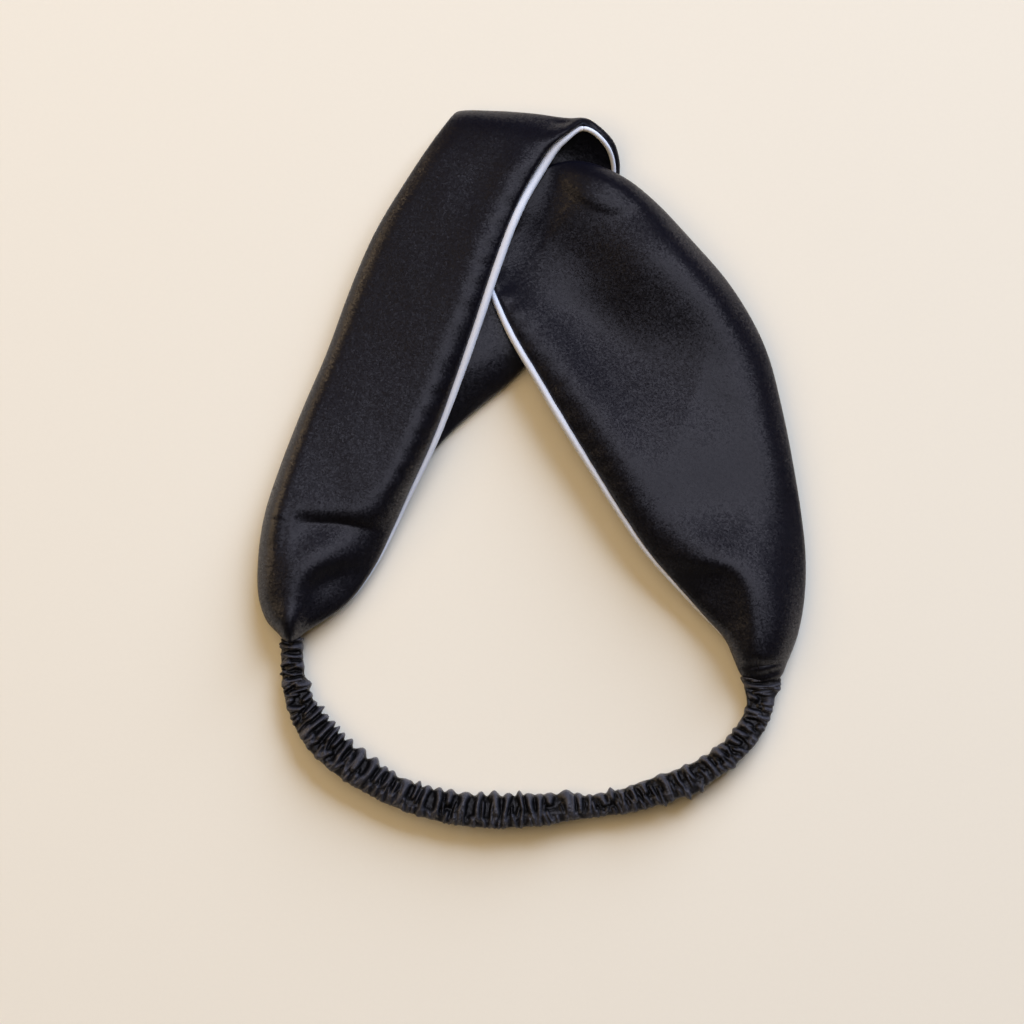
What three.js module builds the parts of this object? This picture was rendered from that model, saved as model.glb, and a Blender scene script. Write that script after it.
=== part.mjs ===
// Twist headband: two satin sashes hooked through each other, and a ruched elastic back.
//
// Millimetres, +Z up. The headband lies flat on the back leaves of its sashes, with the twist
// towards +Y and the elastic towards -Y. Each sash is a long strip of doubled satin: a front leaf
// runs up from the neck, turns round the other sash, and comes back below as a back leaf.

import * as THREE from "three";

// ---------------------------------------------------------------- driving dimensions

const CLEARANCE = 0.3; // gap between pieces that touch
const PIPING_DIAMETER = 2.6;
const SEAM_GAP = 1.1; // between the piping's path and the cloth edge, which slants beside it
const TONGUE_LENGTH = 3.6; // how far a gathered sash end reaches into the casing

const ACROSS = 10; // points across a sash
const STEPS_PER_ROW = 3; // sections of cloth between two rows of a sash table
const RIM_SHARE = 0.5; // thickness at the long edges, as a share of the wall
const ROLL = 2.6; // how squarely the cloth rolls down at its long edges

const LOOP_CLOTH_DELAY = 1.8; // rows by which the cloth edge follows the piping into the loop

const PIPING_SIDES = 6;
const PIPING_STEPS = 60;

const RUFFLE_PITCH = 3.3;
const RUFFLE_DEPTH_INNER = 0.17; // as shares of the casing's half width
const RUFFLE_DEPTH_OUTER = 0.07;
const PLAIN_RUFFLES = 3; // shallow ruffles at each mouth, where the cloth is sewn to the sash
const CASING_SIDES = 10;

const ELASTIC_WIDTH = 3.4;
const ELASTIC_THICKNESS = 0.8;
const ELASTIC_STEPS = 34;

// ---------------------------------------------------------------- sections of the sashes

// One row a section across the cloth, from the front of the neck round to its back. Left and right
// are the two long edges as seen when looking along the front leaf. Crown is how far the middle
// stands out from the straight line between the edges, and wall is the thickness of the cloth.
const SASH_COLUMNS = ["leftX", "leftY", "leftZ", "rightX", "rightY", "rightZ", "crown", "wall"];

const LEFT_SASH_ROWS = [
  // tongue, neck and gathers of the front leaf
  [-71.3, -53.6, 4.1, -68.1, -53.6, 4.1, 0.0, 1.1],
  [-71.5, -49.8, 4.1, -67.9, -49.8, 4.1, 0.0, 1.1],
  [-73.4, -47.8, 4.6, -66.6, -47.8, 4.6, 1.2, 1.4],
  [-76.8, -44.2, 4.0, -61.5, -44.6, 4.6, 4.0, 1.8],
  [-79.1, -37.5, 2.6, -52.8, -38.4, 4.2, 7.5, 2.2],
  [-79.3, -27.0, 2.0, -45.2, -28.2, 4.0, 9.0, 2.2],
  // front leaf
  [-77.5, -14.0, 2.0, -39.9, -18.2, 4.5, 8.5, 2.2],
  [-73.0, 0.0, 2.0, -34.4, -6.8, 6.0, 8.0, 2.2],
  [-66.3, 17.0, 2.2, -27.2, 7.8, 8.0, 7.5, 2.2],
  [-59.0, 34.0, 2.8, -20.6, 24.5, 10.2, 6.5, 2.2],
  [-52.8, 51.0, 3.6, -14.3, 42.0, 12.4, 5.5, 2.2],
  [-45.3, 68.3, 5.0, -8.6, 59.0, 13.4, 4.5, 2.2],
  [-35.8, 84.0, 6.6, -2.0, 76.0, 14.2, 3.6, 2.2],
  // open loop over the right sash
  [-28.1, 95.4, 7.6, 4.6, 88.2, 14.6, 3.0, 2.2],
  [-23.6, 101.2, 7.0, 9.6, 95.4, 14.2, 2.2, 2.2],
  [-22.3, 102.6, 4.4, 16.4, 99.3, 11.4, 1.0, 2.2],
  [-22.8, 101.0, 2.0, 22.5, 94.3, 7.0, 1.2, 2.2],
  [-18.5, 95.0, 1.6, 25.2, 86.2, 3.7, 0.6, 2.2],
  // back leaf, bunched where the right sash turns round it
  [-9.0, 84.0, 4.0, 22.0, 76.0, 4.2, 0.0, 2.2],
  [-9.5, 69.0, 4.2, 14.5, 61.5, 4.2, 0.0, 2.2],
  [-16.5, 53.5, 4.2, 6.5, 46.0, 4.2, 0.0, 2.2],
  [-27.0, 38.0, 4.0, -1.8, 29.6, 4.0, 0.0, 2.2],
  [-40.0, 24.0, 1.8, -14.0, 19.4, 1.8, 0.0, 2.2],
  [-52.0, 9.0, 1.1, -27.0, 7.5, 1.1, 0.0, 2.2],
  [-65.0, -13.0, 1.1, -43.0, -15.0, 1.1, 0.0, 2.2],
  [-71.0, -31.0, 1.1, -55.0, -32.0, 1.1, 0.0, 2.2],
  [-73.0, -43.0, 1.5, -64.5, -43.0, 1.5, 0.0, 1.8],
  [-72.4, -47.8, 2.4, -67.4, -47.8, 2.4, 0.0, 1.4],
  [-71.5, -49.8, 2.7, -67.9, -49.8, 2.7, 0.0, 1.1],
  [-71.3, -53.6, 2.7, -68.1, -53.6, 2.7, 0.0, 1.1],
];

const RIGHT_SASH_ROWS = [
  // tongue, neck and gathers of the front leaf
  [63.0, -65.2, 4.1, 69.8, -65.2, 4.1, 0.0, 1.1],
  [62.9, -61.8, 4.1, 70.1, -61.8, 4.1, 0.0, 1.1],
  [60.6, -59.6, 4.6, 72.4, -60.0, 4.6, 1.2, 1.4],
  [58.7, -55.2, 4.6, 74.0, -56.0, 3.6, 4.5, 1.8],
  [55.6, -49.0, 4.6, 76.9, -48.0, 2.6, 7.5, 2.2],
  [49.0, -42.2, 4.8, 78.9, -37.0, 2.0, 9.5, 2.2],
  // front leaf
  [41.2, -34.0, 5.6, 79.2, -25.0, 2.0, 9.0, 2.2],
  [32.6, -24.4, 7.0, 77.8, -12.0, 2.0, 8.0, 2.2],
  [24.4, -12.8, 8.6, 75.7, 0.5, 2.0, 7.0, 2.2],
  [16.4, -0.4, 10.0, 72.4, 17.0, 2.0, 6.5, 2.2],
  [8.2, 12.4, 10.8, 67.3, 35.5, 2.0, 6.0, 2.2],
  [0.4, 25.6, 10.8, 57.6, 52.6, 2.6, 5.0, 2.2],
  [-7.2, 38.8, 10.0, 46.2, 65.8, 3.8, 3.4, 2.2],
  [-12.4, 50.6, 8.6, 35.2, 77.4, 6.2, 1.5, 2.2],
  // through the loop and round the back leaf of the left sash
  [-14.4, 56.0, 8.0, 25.6, 84.6, 8.8, 1.2, 2.2],
  [-17.0, 57.0, 8.0, 13.0, 89.0, 9.0, 0.8, 2.2],
  [-20.5, 56.5, 7.6, -1.5, 86.0, 8.0, 0.4, 2.2],
  [-24.0, 55.5, 4.6, -14.5, 80.5, 4.6, 0.4, 2.2],
  [-20.5, 54.0, 1.4, -11.0, 79.5, 1.4, 0.0, 2.2],
  // back leaf
  [-13.0, 49.5, 1.1, 4.0, 76.0, 1.1, 0.0, 2.2],
  [-3.0, 36.0, 1.1, 24.0, 63.0, 1.1, 0.0, 2.2],
  [9.0, 16.0, 1.1, 40.0, 42.0, 1.1, 0.0, 2.2],
  [24.0, -8.0, 1.1, 57.0, 13.0, 1.1, 0.0, 2.2],
  [39.0, -28.0, 1.1, 70.0, -13.0, 1.1, 0.0, 2.2],
  [53.0, -43.0, 1.1, 73.5, -36.0, 1.1, 0.0, 2.2],
  [60.0, -53.5, 1.5, 72.5, -52.5, 1.5, 0.0, 1.8],
  [61.6, -59.6, 2.4, 71.4, -60.0, 2.4, 0.0, 1.4],
  [62.9, -61.8, 2.7, 70.1, -61.8, 2.7, 0.0, 1.1],
  [63.0, -65.2, 2.7, 69.8, -65.2, 2.7, 0.0, 1.1],
];

// Main folds of the front leaves, each a soft ridge or valley along a line seen from above.
const FOLD_COLUMNS = ["fromX", "fromY", "toX", "toY", "width", "height"];

const LEFT_SASH_FOLDS = [
  [-66.4, -13.1, -44.7, -16.8, 3.4, -1.6], // crease across the cloth above the gathers
  [-49.3, -22.0, -63.2, -25.2, 3.4, 1.2], // ridge under it
  [-63.2, -25.2, -69.9, -44.0, 3.2, 1.4], // the same ridge running down into the neck
  [-64.0, -32.5, -52.5, -31.0, 3.8, -2.4], // hollow beside the neck
  [-7.8, 93.7, 4.9, 99.2, 3.0, -0.9], // dip where the loop opens
];

const RIGHT_SASH_FOLDS = [
  [9.3, 48.1, 18.3, 27.6, 8.0, 1.2], // broad swell along the leaf
  [18.3, 27.6, 47.6, -14.8, 9.0, 1.4],
  [24.1, 55.7, 44.7, 46.7, 6.0, -1.8], // dip between the swell and the outer edge
  [45.5, -21.2, 61.5, -28.1, 3.6, 1.4], // ridge turning down into the neck
  [61.5, -28.1, 65.0, -52.0, 3.4, 1.8],
  [48.0, -30.0, 58.5, -41.0, 4.2, -2.2], // hollow beside the neck
];

// ---------------------------------------------------------------- sections of the casing

// Centre line of the ruched casing from the left neck to the right one, its size over the ruffles,
// and the size of the channel that holds the elastic and, at both mouths, the sash ends.
const CASING_COLUMNS = ["x", "y", "width", "height", "channelWidth", "channelHeight"];

const CASING_ROWS = [
  [-69.7, -50.2, 7.0, 6.8, 4.6, 3.6],
  [-69.6, -54.4, 7.4, 6.8, 4.6, 3.4],
  [-69.1, -60.5, 7.8, 7.0, 4.6, 1.8],
  [-67.6, -67.0, 9.0, 7.6, 4.6, 1.8],
  [-64.6, -73.2, 9.8, 8.2, 4.6, 1.8],
  [-60.2, -79.2, 10.4, 8.8, 4.6, 1.8],
  [-54.0, -84.8, 10.4, 8.8, 4.6, 1.8],
  [-46.0, -90.2, 9.6, 8.4, 4.6, 1.8],
  [-32.0, -96.4, 9.4, 8.2, 4.6, 1.8],
  [-16.0, -99.2, 10.4, 8.6, 4.6, 1.8],
  [1.0, -99.0, 10.2, 8.6, 4.6, 1.8],
  [10.0, -98.2, 8.6, 8.0, 4.6, 1.8],
  [18.3, -97.8, 7.0, 7.0, 4.6, 1.8],
  [25.5, -96.6, 7.8, 7.6, 4.6, 1.8],
  [32.8, -94.4, 9.0, 8.2, 4.6, 1.8],
  [44.2, -90.4, 9.0, 8.2, 4.6, 1.8],
  [54.6, -84.7, 8.0, 7.6, 4.6, 1.8],
  [61.6, -77.8, 8.0, 7.2, 4.6, 1.8],
  [65.0, -71.2, 9.0, 6.8, 6.0, 2.4],
  [66.3, -65.8, 11.0, 6.8, 8.8, 3.4],
  [66.5, -62.2, 11.2, 6.8, 9.0, 3.6],
];

// ---------------------------------------------------------------- tables and solids

// Gives each row its columns' names.
function readTable(columns, rows) {
  return rows.map((row) => Object.fromEntries(columns.map((name, i) => [name, row[i]])));
}

// Smooth curve through the rows' points; parameter 0 to 1 passes one row after the other.
function curveThrough(rows, x, y, z) {
  const points = rows.map((row) => new THREE.Vector3(row[x], row[y], z ? row[z] : 0));
  return new THREE.CatmullRomCurve3(points, false, "centripetal");
}

// Value of one column at parameter t, eased from row to row.
function columnAt(rows, name, t) {
  const place = t * (rows.length - 1);
  const index = Math.min(Math.floor(place), rows.length - 2);
  return THREE.MathUtils.lerp(rows[index][name], rows[index + 1][name], place - index);
}

// Repeatable unevenness between -1 and 1 for handmade gathers.
function unevenness(index) {
  return Math.sin(index * 2.4) * 0.6 + Math.sin(index * 5.1 + 1.3) * 0.4;
}

// Faces between rings of equally many points. Opposite points of the two end rings are joined
// in pairs, so a long thin section closes without slivers.
function closedLoft(rings) {
  const count = rings[0].length;
  const indices = sideFaces(rings.length, count, 0);
  for (const start of [0, (rings.length - 1) * count]) {
    for (let i = 0; i < count / 2 - 1; i += 1) {
      const near = [start + i, start + i + 1];
      const far = [start + count - 1 - i, start + count - 2 - i];
      const face = [near[0], near[1], far[1], near[0], far[1], far[0]];
      indices.push(...(start === 0 ? face : face.reverse()));
    }
  }
  return solidGeometry(rings.flat(), indices);
}

// A sleeve: outer rings, inner rings and a flat lip at both mouths.
function sleeveLoft(outerRings, innerRings) {
  const count = outerRings[0].length;
  const innerStart = outerRings.length * count;
  const indices = sideFaces(outerRings.length, count, 0);
  indices.push(...sideFaces(innerRings.length, count, innerStart).reverse());
  const lips = [
    [0, innerStart, false],
    [innerStart - count, innerStart + (innerRings.length - 1) * count, true],
  ];
  for (const [outer, inner, turned] of lips) {
    for (let i = 0; i < count; i += 1) {
      const next = (i + 1) % count;
      const face = [outer + i, outer + next, inner + next, outer + i, inner + next, inner + i];
      indices.push(...(turned ? face.reverse() : face));
    }
  }
  return solidGeometry([...outerRings.flat(), ...innerRings.flat()], indices);
}

function sideFaces(ringCount, count, start) {
  const indices = [];
  for (let ring = 0; ring < ringCount - 1; ring += 1) {
    for (let i = 0; i < count; i += 1) {
      const next = (i + 1) % count;
      const a = start + ring * count + i;
      const b = start + ring * count + next;
      indices.push(a, a + count, b + count, a, b + count, b);
    }
  }
  return indices;
}

// Geometry with its faces turned outwards, whichever way the rings run.
function solidGeometry(points, indices) {
  let volume = 0;
  for (let i = 0; i < indices.length; i += 3) {
    const [a, b, c] = [points[indices[i]], points[indices[i + 1]], points[indices[i + 2]]];
    volume += a.dot(b.clone().cross(c));
  }
  const geometry = new THREE.BufferGeometry().setFromPoints(points);
  geometry.setIndex(volume < 0 ? [...indices].reverse() : indices);
  geometry.computeVertexNormals();
  return geometry;
}

// ---------------------------------------------------------------- sashes

// Height of the folds at a point of the front leaf: the sum of soft ridges along straight lines.
function foldHeight(folds, point) {
  let height = 0;
  const flat = new THREE.Vector3(point.x, point.y, 0);
  for (const fold of folds) {
    const line = new THREE.Line3(
      new THREE.Vector3(fold.fromX, fold.fromY, 0),
      new THREE.Vector3(fold.toX, fold.toY, 0),
    );
    const distance = line.closestPointToPoint(flat, true, new THREE.Vector3()).distanceTo(flat);
    height += fold.height * Math.exp(-((distance / fold.width) ** 2));
  }
  return height;
}

// The middle surface of a sash as a grid: sections along it, points across it. The piped edge is
// drawn in to leave room for its piping.
function sashGrid(sash) {
  const steps = (sash.rows.length - 1) * STEPS_PER_ROW;
  const grid = [];
  for (let step = 0; step <= steps; step += 1) {
    const t = step / steps;
    const { left, right, out } = sashSection(sash, t);
    const crown = columnAt(sash.rows, "crown", t);
    const onFront = t <= sash.frontShare;
    const section = [];
    for (let i = 0; i < ACROSS; i += 1) {
      const v = i / (ACROSS - 1);
      const point = left.clone().lerp(right, v);
      const rolled = 1 - Math.abs(2 * v - 1) ** ROLL;
      const fold = onFront ? foldHeight(sash.folds, point) * rolled : 0;
      section.push(point.addScaledVector(out, crown * rolled + fold));
    }
    grid.push(section);
  }
  return grid;
}

// Cloth edges and the direction in which the cloth bulges, at parameter t along the sash.
function sashSection(sash, t) {
  const left = sash.leftEdge.getPoint(t);
  const right = sash.rightEdge.getPoint(t);
  const across = right.clone().sub(left).normalize();
  const ahead = sash.leftEdge.getTangent(t).add(sash.rightEdge.getTangent(t));
  const out = across.clone().cross(ahead).normalize();
  const share = pipingShare(sash, t);
  const room = share * PIPING_DIAMETER + Math.min(1, 3 * share) * SEAM_GAP;
  const drawnIn = room * (1 - roundTheLoop(sash, t, LOOP_CLOTH_DELAY));
  const piped = sash.pipedSide === "left" ? left : right;
  piped.addScaledVector(across, sash.pipedSide === "left" ? drawnIn : -drawnIn);
  return { left, right, out, across };
}

// Size of the piping at parameter t as a share of its full size: it thins towards the neck, where
// it rolls out of sight, and the cloth takes its room up again past both its ends.
function pipingShare(sash, t) {
  const { fromRow, toRow, thinRows, thinShare } = sash.piping;
  const row = t * (sash.rows.length - 1);
  if (row < fromRow) {
    return thinShare * THREE.MathUtils.smoothstep(row, fromRow - 1, fromRow);
  }
  const growth = THREE.MathUtils.smoothstep(row, fromRow, fromRow + thinRows);
  const fading = 1 - THREE.MathUtils.smoothstep(row, toRow, toRow + 1);
  return THREE.MathUtils.lerp(thinShare, 1, growth) * fading;
}

// From 0, where the piping lies beside the cloth edge, to 1, where it lies inside the open loop.
// The cloth edge follows the piping a little later.
function roundTheLoop(sash, t, delay = 0) {
  const row = t * (sash.rows.length - 1) - delay;
  const { loopFromRow, loopToRow } = sash.piping;
  return row <= loopFromRow ? 0 : THREE.MathUtils.smoothstep(row, loopFromRow, loopToRow);
}

// The sash wall: the middle surface moved by half a wall to each side, thinner at the long edges.
function sashGeometry(sash) {
  const grid = sashGrid(sash);
  const last = grid.length - 1;
  const rings = grid.map((section, row) => {
    const half = columnAt(sash.rows, "wall", row / last) / 2;
    const upper = [];
    const lower = [];
    section.forEach((point, i) => {
      const ahead = grid[Math.min(row + 1, last)][i].clone().sub(grid[Math.max(row - 1, 0)][i]);
      const across = section[Math.min(i + 1, ACROSS - 1)].clone().sub(section[Math.max(i - 1, 0)]);
      const normal = across.cross(ahead).normalize();
      const isRim = i === 0 || i === ACROSS - 1;
      const offset = isRim ? half * RIM_SHARE : half;
      upper.push(point.clone().addScaledVector(normal, offset));
      lower.push(point.clone().addScaledVector(normal, -offset));
    });
    return [...upper, ...lower.reverse()].map(restOnSurface);
  });
  return closedLoft(rings);
}

// Cloth that would dip below the surface that the headband lies on is flattened against it.
function restOnSurface(point) {
  return point.setZ(Math.max(point.z, 0));
}

// Piping along the finished edge of a sash between two rows, thinning towards the neck. Round the
// open loop it sinks to the inside of the cloth.
function pipingGeometry(sash) {
  const { fromRow, toRow } = sash.piping;
  const edge = sash.pipedSide === "left" ? sash.leftEdge : sash.rightEdge;
  const inward = sash.pipedSide === "left" ? 1 : -1;
  const places = [];
  for (let step = 0; step <= PIPING_STEPS; step += 1) {
    const row = THREE.MathUtils.lerp(fromRow, toRow, step / PIPING_STEPS);
    const t = row / (sash.rows.length - 1);
    const { across, out } = sashSection(sash, t);
    const radius = (PIPING_DIAMETER / 2) * pipingShare(sash, t);
    const rim = (columnAt(sash.rows, "wall", t) / 2) * RIM_SHARE;
    const sunk = roundTheLoop(sash, t) * (radius + rim + 2 * CLEARANCE);
    const centre = edge.getPoint(t).addScaledVector(across, inward * radius);
    places.push({ centre: centre.addScaledVector(out, -sunk), across, radius });
  }
  const rings = places.map(({ centre, across, radius }, i) => {
    const before = places[Math.max(i - 1, 0)].centre;
    const after = places[Math.min(i + 1, PIPING_STEPS)].centre;
    const ahead = after.clone().sub(before).normalize();
    const up = across.clone().cross(ahead).normalize();
    const sideways = ahead.clone().cross(up);
    return ellipseRing(centre, sideways, up, radius, radius, PIPING_SIDES);
  });
  return closedLoft(rings);
}

function ellipseRing(centre, sideways, up, halfWidth, halfHeight, sides) {
  const ring = [];
  for (let i = 0; i < sides; i += 1) {
    const angle = ((i + 0.5) / sides) * 2 * Math.PI;
    const point = centre.clone().addScaledVector(sideways, halfWidth * Math.cos(angle));
    ring.push(point.addScaledVector(up, halfHeight * Math.sin(angle)));
  }
  return ring;
}

function makeSash({ rows, folds, pipedSide, frontRows, piping }) {
  const table = readTable(SASH_COLUMNS, rows);
  return {
    rows: table,
    folds: readTable(FOLD_COLUMNS, folds),
    pipedSide,
    piping,
    frontShare: frontRows / (rows.length - 1),
    leftEdge: curveThrough(table, "leftX", "leftY", "leftZ"),
    rightEdge: curveThrough(table, "rightX", "rightY", "rightZ"),
  };
}

// ---------------------------------------------------------------- casing and elastic

const UP = new THREE.Vector3(0, 0, 1);
const casingRows = readTable(CASING_COLUMNS, CASING_ROWS);
const casingLine = curveThrough(casingRows, "x", "y");
const casingLength = casingLine.getLength();

// Frame and sizes of the casing at share u of its length. Inward points to the head opening.
function casingSection(u) {
  const t = casingLine.getUtoTmapping(u);
  const size = (name) => columnAt(casingRows, name, t);
  const centre = casingLine.getPoint(t);
  centre.z = size("height") / 2;
  const inward = UP.clone().cross(casingLine.getTangent(t)).normalize();
  return { centre, inward, size };
}

// Outer rings stand alternately on the crest and in the valley of each ruffle. The ruffles are
// deep towards the head opening and shallow along the outer seam.
function casingOuterRings() {
  const ruffles = Math.round(casingLength / RUFFLE_PITCH);
  const rings = [];
  for (let i = 0; i <= 2 * ruffles; i += 1) {
    const atMouth = i === 0 || i === 2 * ruffles;
    const drift = atMouth ? 0 : 0.22 * unevenness(i);
    const { centre, inward, size } = casingSection((i + drift) / (2 * ruffles));
    const crest = i % 2 === 0 ? 1 : -1;
    const ring = ellipseRing(centre, inward, UP, size("width") / 2, size("height") / 2, CASING_SIDES);
    for (const point of ring) {
      const spoke = point.clone().sub(centre);
      const inner = 0.5 + spoke.dot(inward) / size("width");
      const depth = THREE.MathUtils.lerp(RUFFLE_DEPTH_OUTER, RUFFLE_DEPTH_INNER, inner);
      const fromMouth = Math.min(i, 2 * ruffles - i) / 2;
      const sewn = THREE.MathUtils.smoothstep(fromMouth, 0, PLAIN_RUFFLES);
      const swell = crest * sewn * (1 + 0.5 * unevenness(i + 7));
      const limit = spoke.z < 0 ? Math.min(swell, 0) : swell;
      point.copy(centre).addScaledVector(spoke, 1 + depth * limit);
    }
    rings.push(ring);
  }
  return rings;
}

function casingInnerRings() {
  const rings = [];
  for (let step = 0; step <= ELASTIC_STEPS; step += 1) {
    const { centre, inward, size } = casingSection(step / ELASTIC_STEPS);
    const halfWidth = size("channelWidth") / 2;
    const halfHeight = size("channelHeight") / 2;
    rings.push(slotRing(centre, inward, halfWidth, halfHeight));
  }
  return rings;
}

// Section of the channel: a flat slot with its corners cut, as many points as the outer rings.
function slotRing(centre, inward, halfWidth, halfHeight) {
  const ring = ellipseRing(centre, inward, UP, 1, 1, CASING_SIDES);
  return ring.map((point) => {
    const spoke = point.clone().sub(centre);
    const sideways = THREE.MathUtils.clamp(spoke.dot(inward) * 1.25, -1, 1);
    const upwards = THREE.MathUtils.clamp(spoke.z * 1.6, -1, 1);
    const place = centre.clone().addScaledVector(inward, sideways * halfWidth);
    return place.addScaledVector(UP, upwards * halfHeight);
  });
}

function elasticGeometry() {
  const trim = (TONGUE_LENGTH + CLEARANCE) / casingLength;
  const rings = [];
  for (let step = 0; step <= ELASTIC_STEPS; step += 1) {
    const u = THREE.MathUtils.lerp(trim, 1 - trim, step / ELASTIC_STEPS);
    const { centre, inward } = casingSection(u);
    const corner = Math.SQRT1_2;
    const halfWidth = ELASTIC_WIDTH / 2 / corner;
    const halfHeight = ELASTIC_THICKNESS / 2 / corner;
    rings.push(ellipseRing(centre, inward, UP, halfWidth, halfHeight, 4));
  }
  return closedLoft(rings);
}

// ---------------------------------------------------------------- the headband

const leftSash = makeSash({
  rows: LEFT_SASH_ROWS,
  folds: LEFT_SASH_FOLDS,
  pipedSide: "right",
  frontRows: 14,
  piping: {
    fromRow: 4,
    toRow: 16.3,
    thinRows: 4,
    thinShare: 0.35,
    loopFromRow: 11.4,
    loopToRow: 12.9,
  },
});

const rightSash = makeSash({
  rows: RIGHT_SASH_ROWS,
  folds: RIGHT_SASH_FOLDS,
  pipedSide: "left",
  frontRows: 13,
  piping: {
    fromRow: 4,
    toRow: 14.5,
    thinRows: 3,
    thinShare: 0.5,
    loopFromRow: Infinity, // this sash has no open loop
    loopToRow: Infinity,
  },
});

const PIECES = [
  { name: "left_sash", shape: sashGeometry(leftSash), color: "#1c1c22", roughness: 0.42 },
  { name: "right_sash", shape: sashGeometry(rightSash), color: "#1c1c22", roughness: 0.42 },
  { name: "left_piping", shape: pipingGeometry(leftSash), color: "#c4cad9", roughness: 0.5 },
  { name: "right_piping", shape: pipingGeometry(rightSash), color: "#c4cad9", roughness: 0.5 },
  {
    name: "elastic_casing",
    shape: sleeveLoft(casingOuterRings(), casingInnerRings()),
    color: "#1a1a20",
    roughness: 0.5,
  },
  { name: "elastic_band", shape: elasticGeometry(), color: "#26262a", roughness: 0.8 },
];

const headband = new THREE.Group();
for (const { name, shape, color, roughness } of PIECES) {
  const material = new THREE.MeshStandardMaterial({ color, roughness, metalness: 0 });
  const mesh = new THREE.Mesh(shape, material);
  mesh.name = name;
  headband.add(mesh);
}

// The origin is the middle of the headband's box, on the surface that it lies on.
const box = new THREE.Box3().setFromObject(headband);
const middle = box.getCenter(new THREE.Vector3());
headband.position.set(-middle.x, -middle.y, -box.min.z);

export default headband;
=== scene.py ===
"""Looks of a twist headband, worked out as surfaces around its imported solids.

Two wide sashes of doubled black satin hook through each other at the top. Pale piping finishes
their inner edges, and a ruched satin sleeve with elastic inside joins their gathered necks. The
tables are in millimetres, and everything that is built is in metres.
"""

import math
from collections import namedtuple

import bpy
import numpy as np
from bpy.props import FloatProperty, FloatVectorProperty, PointerProperty
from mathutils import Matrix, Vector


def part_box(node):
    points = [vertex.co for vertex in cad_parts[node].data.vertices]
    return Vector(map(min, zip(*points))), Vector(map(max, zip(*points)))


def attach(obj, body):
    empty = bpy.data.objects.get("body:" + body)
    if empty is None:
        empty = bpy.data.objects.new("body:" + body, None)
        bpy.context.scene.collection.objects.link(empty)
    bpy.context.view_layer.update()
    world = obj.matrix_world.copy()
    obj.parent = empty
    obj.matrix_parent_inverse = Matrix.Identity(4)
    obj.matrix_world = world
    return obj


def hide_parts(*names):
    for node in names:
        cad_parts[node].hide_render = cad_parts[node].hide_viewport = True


bl_info = {
    "name": "Twist Headband",
    "version": (1, 0, 0),
    "blender": (4, 5, 0),
    "location": "3D View > Sidebar > Headband",
    "description": "Satin sashes, piping and ruched elastic back of a twist headband",
    "category": "Add Mesh",
}

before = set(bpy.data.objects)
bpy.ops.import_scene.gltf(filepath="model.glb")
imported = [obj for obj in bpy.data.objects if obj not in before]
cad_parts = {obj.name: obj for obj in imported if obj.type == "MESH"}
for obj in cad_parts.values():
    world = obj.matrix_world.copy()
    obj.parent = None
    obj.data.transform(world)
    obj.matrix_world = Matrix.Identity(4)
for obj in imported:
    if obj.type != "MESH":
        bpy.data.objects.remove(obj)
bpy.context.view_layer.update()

MM = 0.001
TABLE_SHIFT = np.array([0.084, 0.441, 0.0])  # from the tables' origin to the frame's, in millimetres

# ---------------------------------------------------------------- tables of the sashes

# One row a section across the cloth, from the front of the neck round to its back. Left and right
# are the long edges as seen along the front leaf. Crown is how far the middle stands out from the
# straight line between the edges, left and right roll are the widths over which the cloth rises
# to that height from its edges, and wall is the thickness of the doubled cloth.
SASH_COLUMNS = "left_x left_y left_z right_x right_y right_z crown left_roll right_roll wall".split()

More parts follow.
